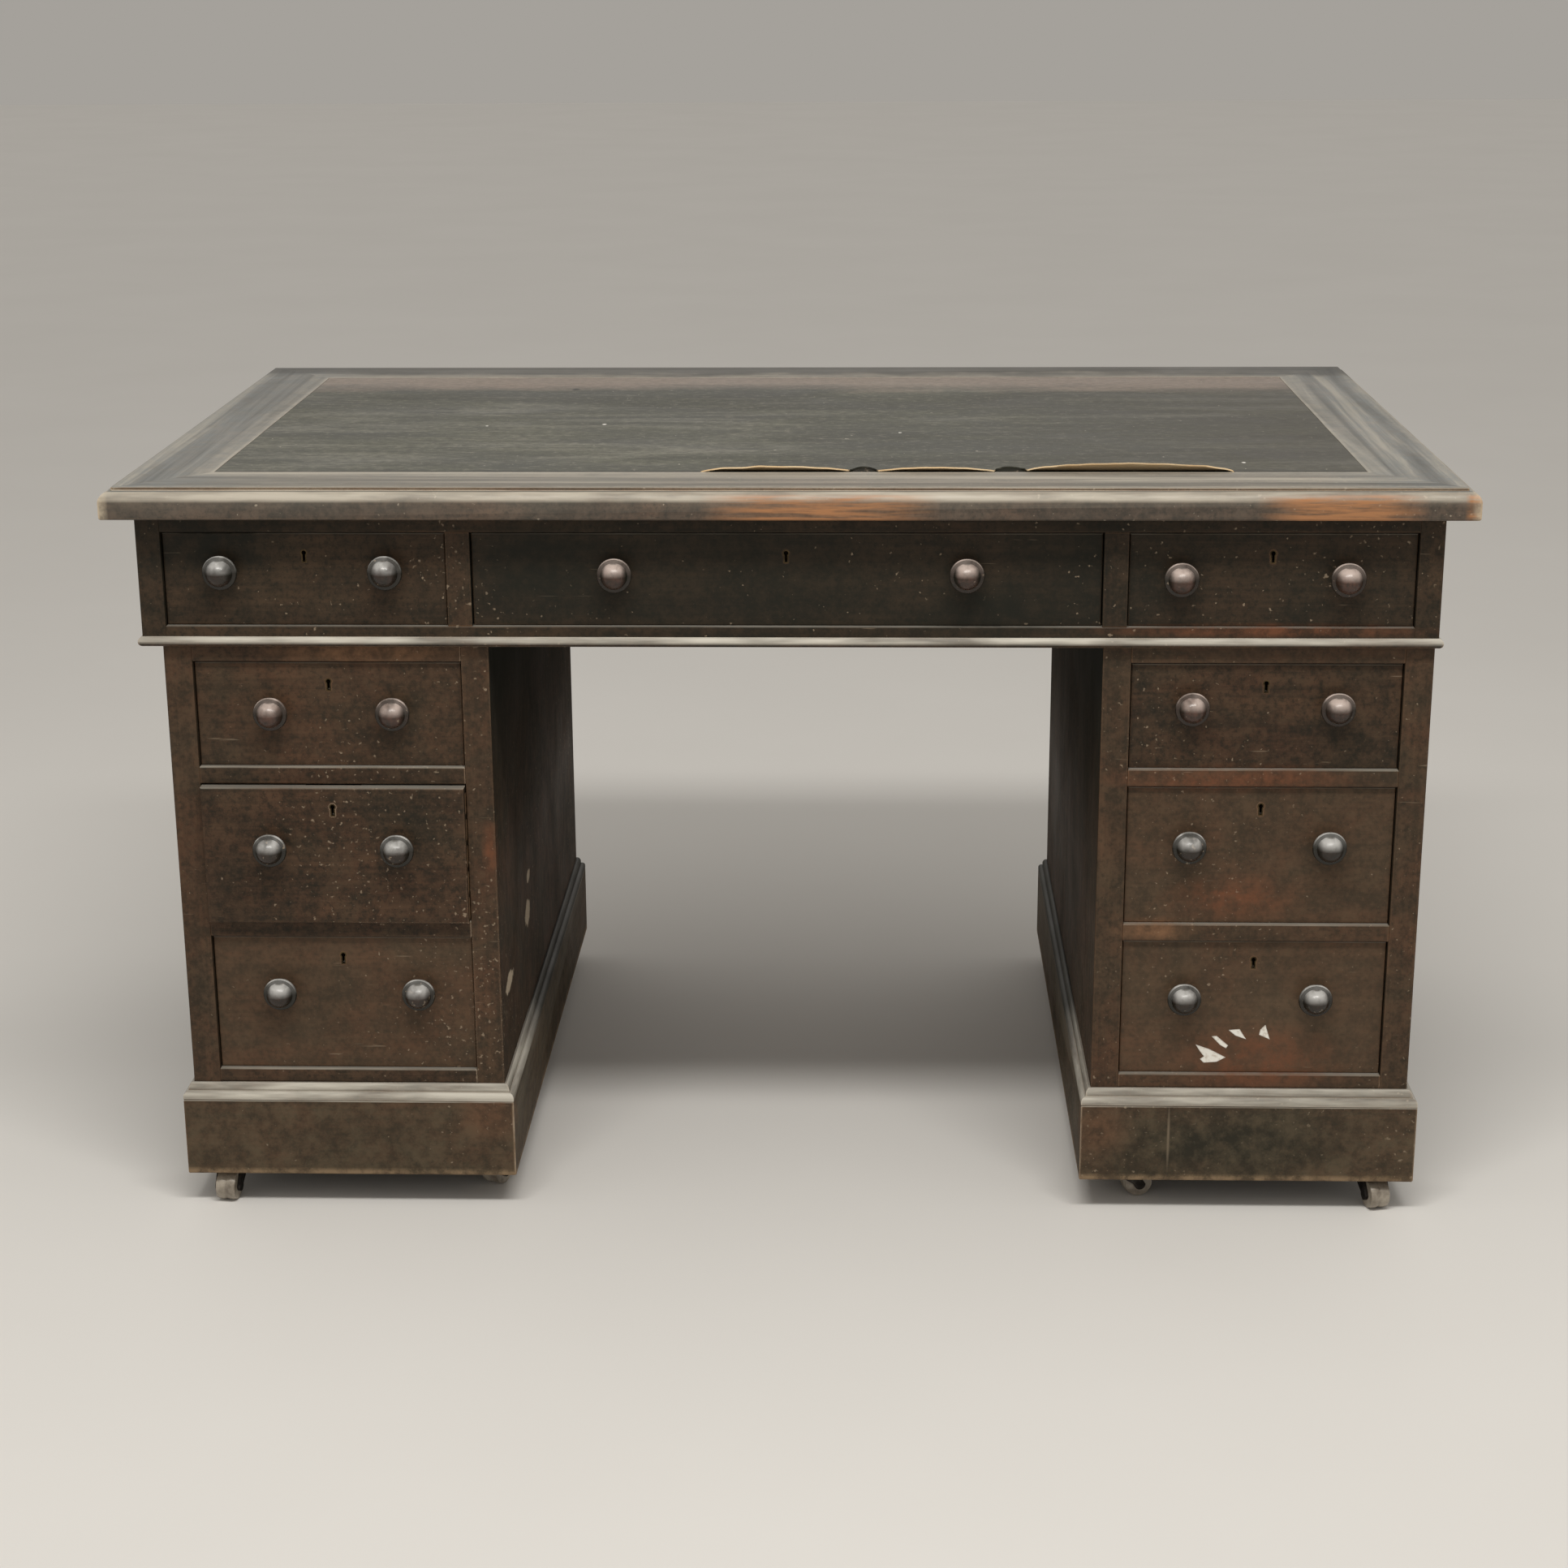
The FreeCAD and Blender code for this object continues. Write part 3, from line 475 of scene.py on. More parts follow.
# The knobs get a painted highlight on their upper half.
knob_finish, red_knob_finish = [
    stained_wood(
        name, stain, dust_and_sheen_share=0.3, rough=0.26, shine=0.4, painted_highlight_share=0.9, painted_highlight_from=(0, 0.7), worn_edges=0.05)
    for name, stain in (("polished_knob_wood_painted_highlight", KNOB_STAIN), ("reddish_knob_wood", RED_KNOB_STAIN))]
# The ground panel is painted near black, a painted shadow seen through the tears and under the lifted front
# edge of the leather.
GROUND_SHADOW_STAIN = dict(CARCASE_STAIN, dark=(0.008, 0.007, 0.006), brown=(0.016, 0.013, 0.01))
ground_shadow_finish = stained_wood("ground_wood_painted_shadow", GROUND_SHADOW_STAIN, dust_and_sheen_share=0.2, rough=0.6, shine=0.1, painted_highlight_share=0.2)
top_finish = stained_wood(
    "old_top_wood", TOP_STAIN, dust_and_sheen_share=0.6, rough=0.42, shine=0.3, painted_highlight_share=0.9, marks=top_marks)
print("finishes", carcase_finish.name, moulding_finish.name, knob_finish.name, top_finish.name)

# %% [markdown]
# ## The bare inner timber
# Drawer linings, runners and kickers were never stained: they are pale softwood gone brown with age, with
# a plain straight grain and grubby edges. They show when a drawer is pulled out.

# %% Lining wood


def lining_wood(name, light, deep, grime):
    f = Finish(name)
    grain = f.attribute("grain", "Vector")
    tone = f.attribute("tone")
    place = f.object_place()
    ring = f.noise(f.stretch(grain, (0.9, 34, 34)), 1, 4, 0.5, 0.8)
    fibre = f.noise(f.stretch(grain, (9, 320, 320)), 1, 4, 0.6)
    soil = f.noise(place, 7, 5, 0.6)
    body = f.coats(
        light, (f.remap(ring, 0.38, 0.66), deep), (f.remap(fibre, 0.45, 0.75, 0, 0.4), deep),
        (f.remap(soil, 0.5, 0.78, 0, 0.65), grime), (f.remap(f.edge(0.003), 0.03, 0.3, 0, 0.55), grime),
        (f.remap(tone, 0, 1, 0, 0.3), grime))
    height = f.math("ADD", ring, f.times(fibre, 0.6))
    gloss = f.remap(soil, 0.3, 0.8, 0.62, 0.8)
    return f.set(Base_Color=body, Roughness=gloss, Normal=f.bump(height, 0.3, 0.0005), Specular_IOR_Level=0.3)


lining_finish = lining_wood(
    "drawer_lining_wood", (0.34, 0.21, 0.11), (0.22, 0.12, 0.058), (0.085, 0.055, 0.035))
print("finish", lining_finish.name)

# %% [markdown]
# ## Boards with softened edges
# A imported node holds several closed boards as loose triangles. Walking the triangles in order, every edge
# meets its twin, so a board ends when no edge is left open. Each board is then rebuilt, its flat faces are
# joined again, and its sharp edges get a narrow bevel, because a hand-planed arris is never razor sharp.
# A bevel modifier would work on whole objects, but here each board also gets its own grain direction.

# %% Board helpers
SMOOTH_BELOW = math.radians(22)
SHORTEST_BEVELLED = 30 * MM
SHARP_FROM = 0.6
FLAT_WITHIN = math.radians(0.6)
PARALLEL = 0.999
ON_FACE = 0.1 * MM
known_boards = {}


def cad_boards(node):
    """The closed boards of a node, each a list of triangles, in the node's own order."""
    if node in known_boards:
        return known_boards[node]
    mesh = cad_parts[node].data
    mesh.calc_loop_triangles()
    spots = [tuple(round(value, 5) for value in vertex.co) for vertex in mesh.vertices]
    boards, triangles, unpaired = [], [], {}
    for triangle in mesh.loop_triangles:
        corners = [spots[index] for index in triangle.vertices]
        if len(set(corners)) < 3:
            continue
        triangles.append(corners)
        for start, end in zip(corners, corners[1:] + corners[:1]):
            if (end, start) in unpaired:
                del unpaired[(end, start)]
            else:
                unpaired[(start, end)] = True
        if not unpaired:
            boards.append(triangles)
            triangles = []
    if triangles:
        boards.append(triangles)
    known_boards[node] = boards
    return boards


def board_box(triangles):
    corners = [corner for triangle in triangles for corner in triangle]
    low = Vector([min(corner[axis] for corner in corners) for axis in range(3)])
    high = Vector([max(corner[axis] for corner in corners) for axis in range(3)])
    return low, high


def long_axis(triangles):
    low, high = board_box(triangles)
    spans = list(high - low)
    return spans.index(max(spans))


def rebuilt(triangles):
    """A merged mesh of one board, with its flat faces joined."""
    work = bmesh.new()
    known = {}
    for corners in triangles:
        for corner in corners:
            if corner not in known:
                known[corner] = work.verts.new(corner)
        ring = [known[corner] for corner in corners]
        if not work.faces.get(ring):
            work.faces.new(ring)
    bmesh.ops.dissolve_limit(work, angle_limit=FLAT_WITHIN, verts=work.verts, edges=work.edges)
    return work


def soften(work, width, wanted):
    """Bevel the long sharp edges that are wanted."""
    sharp = []
    for edge in work.edges:
        crisp = len(edge.link_faces) == 2 and edge.calc_face_angle(0) >= SHARP_FROM
        if crisp and edge.calc_length() >= SHORTEST_BEVELLED and wanted(edge):
            sharp.append(edge)
    bmesh.ops.bevel(
        work, geom=sharp, offset=width, offset_type="OFFSET", segments=2, profile=0.5, affect="EDGES",
        clamp_overlap=True)


def every_edge(edge):
    return True


def edges_along(axis):
    """Only the edges that run along a moulded length, so that its mitres stay tight."""
    def wanted(edge):
        way = (edge.verts[1].co - edge.verts[0].co).normalized()
        return abs(way[axis]) > PARALLEL
    return wanted


def edges_at_front(face_y):
    """Only the edges round the face of a drawer front."""
    def wanted(edge):
        return all(abs(vertex.co.y - face_y) < ON_FACE for vertex in edge.verts)
    return wanted


def finished(name, work, finish, smooth_below=None):
    """An object from a worked mesh, smooth over the edges that turn less than an angle."""
    mesh = bpy.data.meshes.new(name)
    work.to_mesh(mesh)
    work.free()
    if smooth_below:
        mesh.polygons.foreach_set("use_smooth", [True] * len(mesh.polygons))
        mesh.set_sharp_from_angle(angle=smooth_below)
    mesh.materials.append(finish)
    return placed(name, mesh)


class Joinery:
    """Boards gathered into one mesh, each with its own grain, tone and rub, the rub also setting a painted
    highlight.
    """

    def __init__(self):
        self.mesh = bmesh.new()
        self.grain = self.mesh.verts.layers.float_vector.new("grain")
        self.tone = self.mesh.verts.layers.float.new("tone")
        self.rub_and_highlight = self.mesh.verts.layers.float.new("rub_and_highlight")

    def add(self, work, grain_axis, tone, rub_and_highlight):
        bmesh.ops.triangulate(work, faces=[face for face in work.faces if len(face.verts) > 4])
        order = [grain_axis] + [axis for axis in range(3) if axis != grain_axis]
        shift = [dice.uniform(0, 5) for _ in range(3)]
        copies = {}
        for vertex in work.verts:
            copy = self.mesh.verts.new(vertex.co)
            copy[self.grain] = Vector([vertex.co[axis] + move for axis, move in zip(order, shift)])
            copy[self.tone] = tone
            copy[self.rub_and_highlight] = rub_and_highlight
            copies[vertex] = copy
        for face in work.faces:
            self.mesh.faces.new([copies[vertex] for vertex in face.verts])
        work.free()

    def piece(self, name, finish):
        return finished(name, self.mesh, finish, SMOOTH_BELOW)


def fit(piece, body, slot, *nodes):
    """Ride a piece on its body, in place of the nodes it stands for."""
    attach(piece, body)
    if nodes:
        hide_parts(*nodes)
    return piece


def board_piece(
        name, node, chosen, finish, body="desk", bevel=1 * MM, way=None, rub_and_highlight=0.3, tone=None, edges="all"):
    """Some boards of a node as one piece; way is the grain's axis, or the board's long one."""
    joinery = Joinery()
    for index in chosen:
        triangles = cad_boards(node)[index]
        run = long_axis(triangles)
        work = rebuilt(triangles)
        face = board_box(triangles)[0].y
        wanted = {"all": every_edge, "run": edges_along(run), "face": edges_at_front(face)}
        if bevel:
            soften(work, bevel, wanted[edges])
        shade = dice.random() if tone is None else tone
        joinery.add(work, run if way is None else way, shade, rub_and_highlight)
    return fit(joinery.piece(name, finish), body, "stained_wood", node)


counted = ("writing_top", "frieze_carcase", "left_pedestal_carcase", "left_plinth")
census = {node: len(cad_boards(node)) for node in counted}
print("boards", census)

# %% [markdown]
# ## The top
# Four moulded lengths are mitred round a plain ground panel, and the leather lies in the recess. Only the
# edges along each length are softened, so that the mitres stay as tight as on the real top.

# %% Top surround and ground
ALONG_X, ALONG_Y, ALONG_Z = 0, 1, 2
surround_boards, ground_board = range(4), [4]
board_piece("top_surround", "writing_top", surround_boards, top_finish,
            bevel=0.8 * MM, rub_and_highlight=0.8, tone=0.45, edges="run")
# The ground panel takes the near-black finish and the lowest tone, a painted shadow under the leather.
board_piece("top_ground_panel", "writing_top", ground_board, ground_shadow_finish, bevel=0, rub_and_highlight=0, tone=0)

# %% [markdown]
# ## The leather skiver
# A skiver is a thin sheet of leather glued into the recess. This one is dull olive brown with fine streaks,
# faded along the back, and its glue has let go along the front: the edge curls up in three places, where
# its pale underside shows. A flat slab could not show that, so the sheet is a grid with both faces, and a
# short formula lifts its front edge. An attribute marks the raw underside for the finish.

# %% Leather finish
WHITE_MARK, BLACK_MARK_AND_SHADOW = (0.75, 0.72, 0.66), (0.012, 0.011, 0.01)
LEATHER_MARKS = (
    (-0.206, -0.026, 2.5 * MM, WHITE_MARK), (0.453, -0.255, 2.2 * MM, WHITE_MARK),
    (-0.332, -0.036, 1.8 * MM, WHITE_MARK), (-0.261, 0.217, 5 * MM, BLACK_MARK_AND_SHADOW),
    (0.113, -0.08, 2 * MM, WHITE_MARK))


def skiver_leather(low, high):
    f = Finish("faded_skiver_leather")
    place = f.object_place()
    flesh = f.attribute("flesh")
    streak = f.noise(f.stretch(place, (7, 62, 1)), 1, 6, 0.72, 0.5)
    cloud = f.noise(f.stretch(place, (1, 2.2, 1)), 5, 6, 0.62, 0.6)
    pebble = f.cells(place, 620)
    crease = f.noise(f.stretch(place, (0.6, 1, 1)), 150, 5, 0.72)
    drift = f.noise(f.stretch(place, (2.4, 11, 1)), 1, 4, 0.62, 0.9)
    across, back = f.axis(place, "X"), f.axis(place, "Y")
    wander = f.math("ADD", back, f.times(f.math("SUBTRACT", cloud, 0.5), 0.16))
    faded = f.times(f.remap(wander, high.y - 0.115, high.y - 0.05), f.remap(crease, 0.35, 0.65, 0.85, 0.5))
    speck = f.noise(place, 150, 2, 0.5)
    body = f.coats(
        (0.04, 0.042, 0.031), (f.remap(cloud, 0.36, 0.64), (0.097, 0.097, 0.071)),
        (f.remap(drift, 0.49, 0.62, 0, 0.6), (0.036, 0.036, 0.028)),
        (f.remap(drift, 0.36, 0.47, 0.5, 0), (0.19, 0.183, 0.146)),
        (f.remap(streak, 0.48, 0.64, 0, 0.45), (0.036, 0.035, 0.028)),
        (f.remap(streak, 0.34, 0.46, 0.35, 0), (0.2, 0.184, 0.15)),
        (f.remap(crease, 0.48, 0.62, 0, 0.6), (0.04, 0.037, 0.03)),
        (f.remap(crease, 0.36, 0.45, 0.5, 0), (0.21, 0.19, 0.155)),
        (f.remap(across, 0.15, 0.5, 0, 0.5), (0.04, 0.033, 0.024)),
        # The first few millimetres of the front edge are mixed towards near black, a painted shadow where the
        # leather meets the surround.
        (f.remap(back, low.y + 4 * MM, low.y + 9 * MM, 0.6, 0), BLACK_MARK_AND_SHADOW),
        (faded, (0.285, 0.225, 0.188)), (f.remap(speck, 0.735, 0.77, 0, 0.75), (0.55, 0.5, 0.42)))
    for x, y, radius, colour in LEATHER_MARKS:
        mark = oval(f, place, (x, y, 0), (radius, 1.7 * radius, 0), 0.6)
        body = f.mix(f.times(mark, f.remap(crease, 0.4, 0.6, 1, 0.6)), body, colour)
    fluff = f.noise(f.stretch(place, (30, 200, 200)), 1, 3)
    raw = f.mix(fluff, (0.82, 0.5, 0.22), (0.95, 0.82, 0.58))
    body = f.mix(f.remap(flesh, 0.35, 0.75), body, raw)
    height = f.math("ADD", f.times(pebble, 0.5), f.times(crease, 0.5))
    gloss = f.remap(cloud, 0.3, 0.75, 0.4, 0.58)
    return f.set(
        Base_Color=body, Roughness=gloss, Normal=f.bump(height, 0.4, 0.0005), Specular_IOR_Level=0.28)


# %% Leather sheet
LIFTED = ((-0.085, 0.064, 5.5 * MM), (0.086, 0.206, 4.5 * MM), (0.232, 0.437, 8.5 * MM))
TORN = ((0.062, 0.088), (0.203, 0.235))
CURL_REACH = 14 * MM
CURL_PULL = 2.5 * MM
TEAR_DEPTH = 30 * MM
TEAR_REACH = 48 * MM
LIFT_FULLNESS, TEAR_FULLNESS = 0.45, 0.5
LIFT_RIPPLE, LIFT_RIPPLES = 0.18, 55
CURL_STEEPNESS = 1.6
SKIVER_RIPPLE = 0.12 * MM
FRAY, FRAYS = 0.5 * MM, 130
SKIVER_COLUMNS, SKIVER_ROWS = 380, 72
FRONT_CROWDING = 1.7
LEATHER_SMOOTH_BELOW = math.radians(50)


def lift_at(x):
    """How far the front edge stands up at a place along it."""
    for start, end, height in LIFTED:
        share = (x - start) / (end - start)
        if 0 < share < 1:
            ripple = 1 + LIFT_RIPPLE * noise.noise(Vector((x * LIFT_RIPPLES, 3.1, 0)))
            return height * math.sin(math.pi * share) ** LIFT_FULLNESS * ripple
    return 0


def tear_at(x):
    """How far the front edge is torn back at a place along it."""
    for start, end in TORN:
        share = (x - start) / (end - start)
        if 0 < share < 1:
            return TEAR_DEPTH * math.sin(math.pi * share) ** TEAR_FULLNESS
    return 0


def leather_sheet():
    low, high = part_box("leather_skiver")
    thick = high.z - low.z
    work = bmesh.new()
    flesh = work.verts.layers.float.new("flesh")
    layers = []
    for side in ("grain", "flesh"):
        rows = []
        for row in range(SKIVER_ROWS + 1):
            back_share = (row / SKIVER_ROWS) ** FRONT_CROWDING
            line = []
            for column in range(SKIVER_COLUMNS + 1):
                x = low.x + (high.x - low.x) * column / SKIVER_COLUMNS
                y = low.y + (high.y - low.y) * back_share
                lift = lift_at(x)
                curl = max(0, 1 - (y - low.y) / CURL_REACH)
                ripple = SKIVER_RIPPLE * (1 + noise.noise(Vector((x * 9, y * 14, 0))))
                z = high.z + lift * curl ** CURL_STEEPNESS + ripple
                fray = FRAY * (1 + noise.noise(Vector((x * FRAYS, 0, 0))))
                torn = tear_at(x) * max(0, 1 - (y - low.y) / TEAR_REACH)
                y += (CURL_PULL * lift / LIFTED[2][2] + fray) * curl + torn
                vertex = work.verts.new((x, y, z if side == "grain" else max(z - thick - ripple, low.z)))
                shown = 1 if side == "flesh" else min(0.9, lift / MM) * max(0, 1 - row / 2)
                vertex[flesh] = 0 if tear_at(x) else shown
                line.append(vertex)
            rows.append(line)
        layers.append(rows)
    top, under = layers
    for row in range(SKIVER_ROWS):
        for column in range(SKIVER_COLUMNS):
            near, far, after = row, row + 1, column + 1
            work.faces.new((top[near][column], top[near][after], top[far][after], top[far][column]))
            work.faces.new((under[near][column], under[far][column], under[far][after], under[near][after]))
    rim = [(0, column) for column in range(SKIVER_COLUMNS)]
    rim += [(row, SKIVER_COLUMNS) for row in range(SKIVER_ROWS)]
    rim += [(SKIVER_ROWS, column) for column in range(SKIVER_COLUMNS, 0, -1)]
    rim += [(row, 0) for row in range(SKIVER_ROWS, 0, -1)]
    for (row, column), (next_row, next_column) in zip(rim, rim[1:] + rim[:1]):
        work.faces.new((
            under[row][column], under[next_row][next_column], top[next_row][next_column], top[row][column]))
    bmesh.ops.recalc_face_normals(work, faces=work.faces)
    piece = finished("leather_writing_surface", work, skiver_leather(low, high), LEATHER_SMOOTH_BELOW)
    fit(piece, "desk", "leather", "leather_skiver")
    return piece


leather = leather_sheet()
print("leather faces", len(leather.data.polygons))

# %% [markdown]
# ## The frieze
# The frieze is the drawer frame under the top: two ends, two dividers, a back and two front rails, with an
# astragal bead planted round its foot. Runners, guides, kickers and stops sit out of sight. The show wood is
# stained and the inner timber is bare, so the node becomes several pieces.

# %% Frieze carcase
per_side = 7
show_ends, show_dividers, inner_frieze = [], [], []
for side in range(2):
    first = side * per_side
    show_ends.append(first)
    show_dividers.append(first + 3)
    inner_frieze += [first + 1, first + 2, first + 4, first + 5, first + 6]
back_board, bottom_rail, top_rail = 14, 15, 22
frieze_stops = range(16, 22)
frieze_beads = range(23, 27)
board_piece("frieze_ends_and_rails", "frieze_carcase", show_ends + [back_board, bottom_rail, top_rail],
            carcase_finish, bevel=0.8 * MM, rub_and_highlight=0.35, tone=0.2)
board_piece("frieze_dividers", "frieze_carcase", show_dividers, carcase_finish,
            bevel=0.8 * MM, way=ALONG_Z, rub_and_highlight=0.3, tone=0.3)
# The bead's full rub gives it the strongest painted highlight.
board_piece("frieze_bead", "frieze_carcase", frieze_beads, moulding_finish,
            bevel=0.4 * MM, rub_and_highlight=1, tone=0.5, edges="run")
board_piece("frieze_runners_and_kickers", "frieze_carcase", inner_frieze + list(frieze_stops),
            lining_finish, bevel=0)
print("frieze boards", len(cad_boards("frieze_carcase")))

# %% [markdown]
# ## Pedestals and plinths
# Each pedestal is a tall box open at the front. Its sides run with upright grain and their front edges show
# as stiles between the rails. The plinth below has mitred boards and a two-step moulding that catches the
# light, so the moulding gets more rub and a stronger painted highlight than the rest.

# %% Pedestals
SIDES = ("left", "right")
side_boards, pedestal_back, pedestal_rails = [0, 1], [2], [3, 4, 9, 12, 15]
pedestal_inner = [5, 6, 7, 8, 10, 11, 13, 14, 16, 17, 18, 19]
plinth_boards, plinth_mouldings, plinth_blocks = range(4), range(4, 8), range(8, 12)
rail_tones = {"left": 0.45, "right": 0.75}
# The rub of each side's rails and mouldings also sets the strength of their painted highlight.
rail_rubs_and_highlights = {"left": 0.6, "right": 0.45}
moulding_rubs_and_highlights = {"left": 0.95, "right": 0.72}
for side in SIDES:
    carcase = side + "_pedestal_carcase"
    board_piece(side + "_pedestal_sides", carcase, side_boards + pedestal_back, carcase_finish,
                bevel=1.2 * MM, way=ALONG_Z, rub_and_highlight=0.6, tone=0.68)
    board_piece(side + "_pedestal_rails", carcase, pedestal_rails, carcase_finish,
                bevel=1.4 * MM, way=ALONG_X, rub_and_highlight=rail_rubs_and_highlights[side], tone=rail_tones[side])
    board_piece(side + "_pedestal_runners", carcase, pedestal_inner, lining_finish, bevel=0)
    base = side + "_plinth"
    board_piece(side + "_plinth_boards", base, plinth_boards, carcase_finish,
                bevel=1.6 * MM, rub_and_highlight=0.75, tone=0.7, edges="run")
    board_piece(side + "_plinth_moulding", base, plinth_mouldings, moulding_finish,
                bevel=0.5 * MM, rub_and_highlight=moulding_rubs_and_highlights[side], tone=0.5, edges="run")
    board_piece(side + "_plinth_corner_blocks", base, plinth_blocks, lining_finish, bevel=0.8 * MM)
print("pedestals", SIDES)

# %% [markdown]
# ## Drawers
# Each drawer box has a stained front, with pale linings dovetailed behind it. The fronts are toned
# unevenly: those in the frieze, in the shade of the top, are nearly black, partly a painted shade, and the
# lower ones are reddish brown. The tone of each front says how dark and red it is.

# %% Drawer boxes
FRONT_TONES = {
    "left_frieze": 0.2, "centre_frieze": 0.05, "right_frieze": 0.15,
    "left_top": 0.65, "left_middle": 0.5, "left_bottom": 0.9,
    "right_top": 0.5, "right_middle": 0.85, "right_bottom": 0.95}
front_board, lining_boards = [0], range(1, 5)
for drawer, front_tone in FRONT_TONES.items():
    box, body = drawer + "_drawer_box", drawer + "_drawer"
    board_piece(drawer + "_drawer_front", box, front_board, carcase_finish, body,
                bevel=1.2 * MM, way=ALONG_X, rub_and_highlight=0.45, tone=front_tone, edges="face")
    board_piece(drawer + "_drawer_linings", box, lining_boards, lining_finish, body, bevel=0)
print("drawers", len(FRONT_TONES))

# %% [markdown]
# ## Turned knobs
# All eighteen knobs were turned to one pattern, so one knob is the pattern and a Geometry Nodes tree sets it
# at the two places on each drawer. Every knob is spun by a random angle from a fixed seed, as knobs glued in
# by hand are, so their grain doesn't repeat.

# %% Knob pattern and tree
DOME_FOOT = -12.4 * MM
# The knob's rub also sets the painted highlight on its top.
KNOB_TONE, KNOB_RUB_AND_HIGHLIGHT = 0.5, 0.8


def knob_pattern():
    """One knob with its middle at the origin, from the first knob of the frame; its rim is painted darkest, a
    painted shade.
    """
    triangles = cad_boards("left_frieze_drawer_knobs")[0]
    low, high = board_box(triangles)
    middle = (low + high) / 2
    joinery = Joinery()
    work = rebuilt(triangles)
    bmesh.ops.translate(work, verts=work.verts, vec=-middle)
    joinery.add(work, ALONG_Y, KNOB_TONE, KNOB_RUB_AND_HIGHLIGHT)
    # The rim behind the dome gets the lowest tone, so it is painted darker, a painted shade.
    for vertex in joinery.mesh.verts:
        if vertex.co.y > DOME_FOOT:
            vertex[joinery.tone] = 0
    return joinery.piece("knob_pattern", knob_finish)


def new_tree(name, kinds):
    """A Geometry Nodes tree with some named inputs, and the identifiers by which a modifier sets them."""
    tree = bpy.data.node_groups.new(name, "GeometryNodeTree")
    sockets = tree.interface
    sockets.new_socket("Geometry", in_out="INPUT", socket_type="NodeSocketGeometry")
    ids = {}
    for title, kind in kinds.items():
        ids[title] = sockets.new_socket(title, in_out="INPUT", socket_type="NodeSocket" + kind).identifier
    sockets.new_socket("Geometry", in_out="OUTPUT", socket_type="NodeSocketGeometry")
    return tree, ids


def added(tree, *kinds):
    return [tree.nodes.new(kind) for kind in kinds]


def join(tree, *links):
    """Link sockets, each by its node and its name: from an output to an input."""
    for source, output, target, entry in links:
        tree.links.new(source.outputs[output], target.inputs[entry])


def random_angle(tree, seed):
    """The largest-angle input and the output of a random value."""
    spin = tree.nodes.new("FunctionNodeRandomValue")
    spin.data_type = "FLOAT"
    inputs = {socket.name: socket for socket in spin.inputs if socket.enabled}
    tree.links.new(seed, inputs["Seed"])
    return inputs["Max"], [socket for socket in spin.outputs if socket.enabled][0]


def set_on_points(tree, given, instance, rotation):
    """Set a shape on every point, make it real and give it its finish."""
    setting, real, paint, result = added(
        tree, "GeometryNodeInstanceOnPoints", "GeometryNodeRealizeInstances", "GeometryNodeSetMaterial",
        "NodeGroupOutput")
    tree.links.new(instance, setting.inputs["Instance"])
    tree.links.new(rotation, setting.inputs["Rotation"])
    join(
        tree, (given, "Geometry", setting, "Points"), (setting, "Instances", real, "Geometry"),
        (real, "Geometry", paint, "Geometry"), (given, "Finish", paint, "Material"),
        (paint, "Geometry", result, "Geometry"))


def setting_tree(name):
    """Set a pattern on every point, spun about Y by a random angle."""
    tree, ids = new_tree(
        name, {"Pattern": "Object", "Largest Spin": "Float", "Seed": "Int", "Finish": "Material"})
    given, pattern, turn = added(tree, "NodeGroupInput", "GeometryNodeObjectInfo", "ShaderNodeCombineXYZ")
    largest, angle = random_angle(tree, given.outputs["Seed"])
    join(tree, (given, "Pattern", pattern, "Object"))
    tree.links.new(given.outputs["Largest Spin"], largest)
    tree.links.new(angle, turn.inputs["Y"])
    set_on_points(tree, given, pattern.outputs["Geometry"], turn.outputs["Vector"])
    return tree, ids


def grown(name, points, tree, ids, settings):
    """Run a tree on some points and keep the result as a plain mesh."""
    seed_mesh = bpy.data.meshes.new(name + "_points")
    seed_mesh.from_pydata(points, [], [])
    holder = placed(name, seed_mesh)
    modifier = holder.modifiers.new("setting", "NODES")
    modifier.node_group = tree
    for title, value in settings.items():
        modifier[ids[title]] = value
    shape = bpy.data.meshes.new_from_object(holder.evaluated_get(bpy.context.evaluated_depsgraph_get()))
    holder.modifiers.remove(modifier)
    holder.data = shape
    shape.name = name
    return holder


# %% Set the knobs
REDDISH_KNOBS = ("centre_frieze", "right_frieze", "left_top", "right_top")
pattern_knob = knob_pattern()
knob_tree, knob_ids = setting_tree("knob_setting")
for number, drawer in enumerate(FRONT_TONES):
    node = drawer + "_drawer_knobs"
    places = []
    for triangles in cad_boards(node):
        low, high = board_box(triangles)
        places.append((low + high) / 2)
    finish = red_knob_finish if drawer in REDDISH_KNOBS else knob_finish
    settings = {"Pattern": pattern_knob, "Largest Spin": 2 * math.pi, "Seed": number, "Finish": finish}
    knobs = grown(drawer + "_drawer_turned_knobs", places, knob_tree, knob_ids, settings)
    fit(knobs, drawer + "_drawer", "turned_wood", node)
bpy.data.objects.remove(pattern_knob)
print("knob faces", len(knobs.data.polygons))

# %% [markdown]
# ## Metal and china
# Lock cases and keyhole escutcheons are brass gone brown, bright only where a key has rubbed. Bolts are
# steel, the caster horns and plates are iron with a skin of rust, and the wheels are china, once cream and
# now brown with grime. Their shapes in the frame are right, so those nodes stay and only take a finish.

# %% Hardware finishes


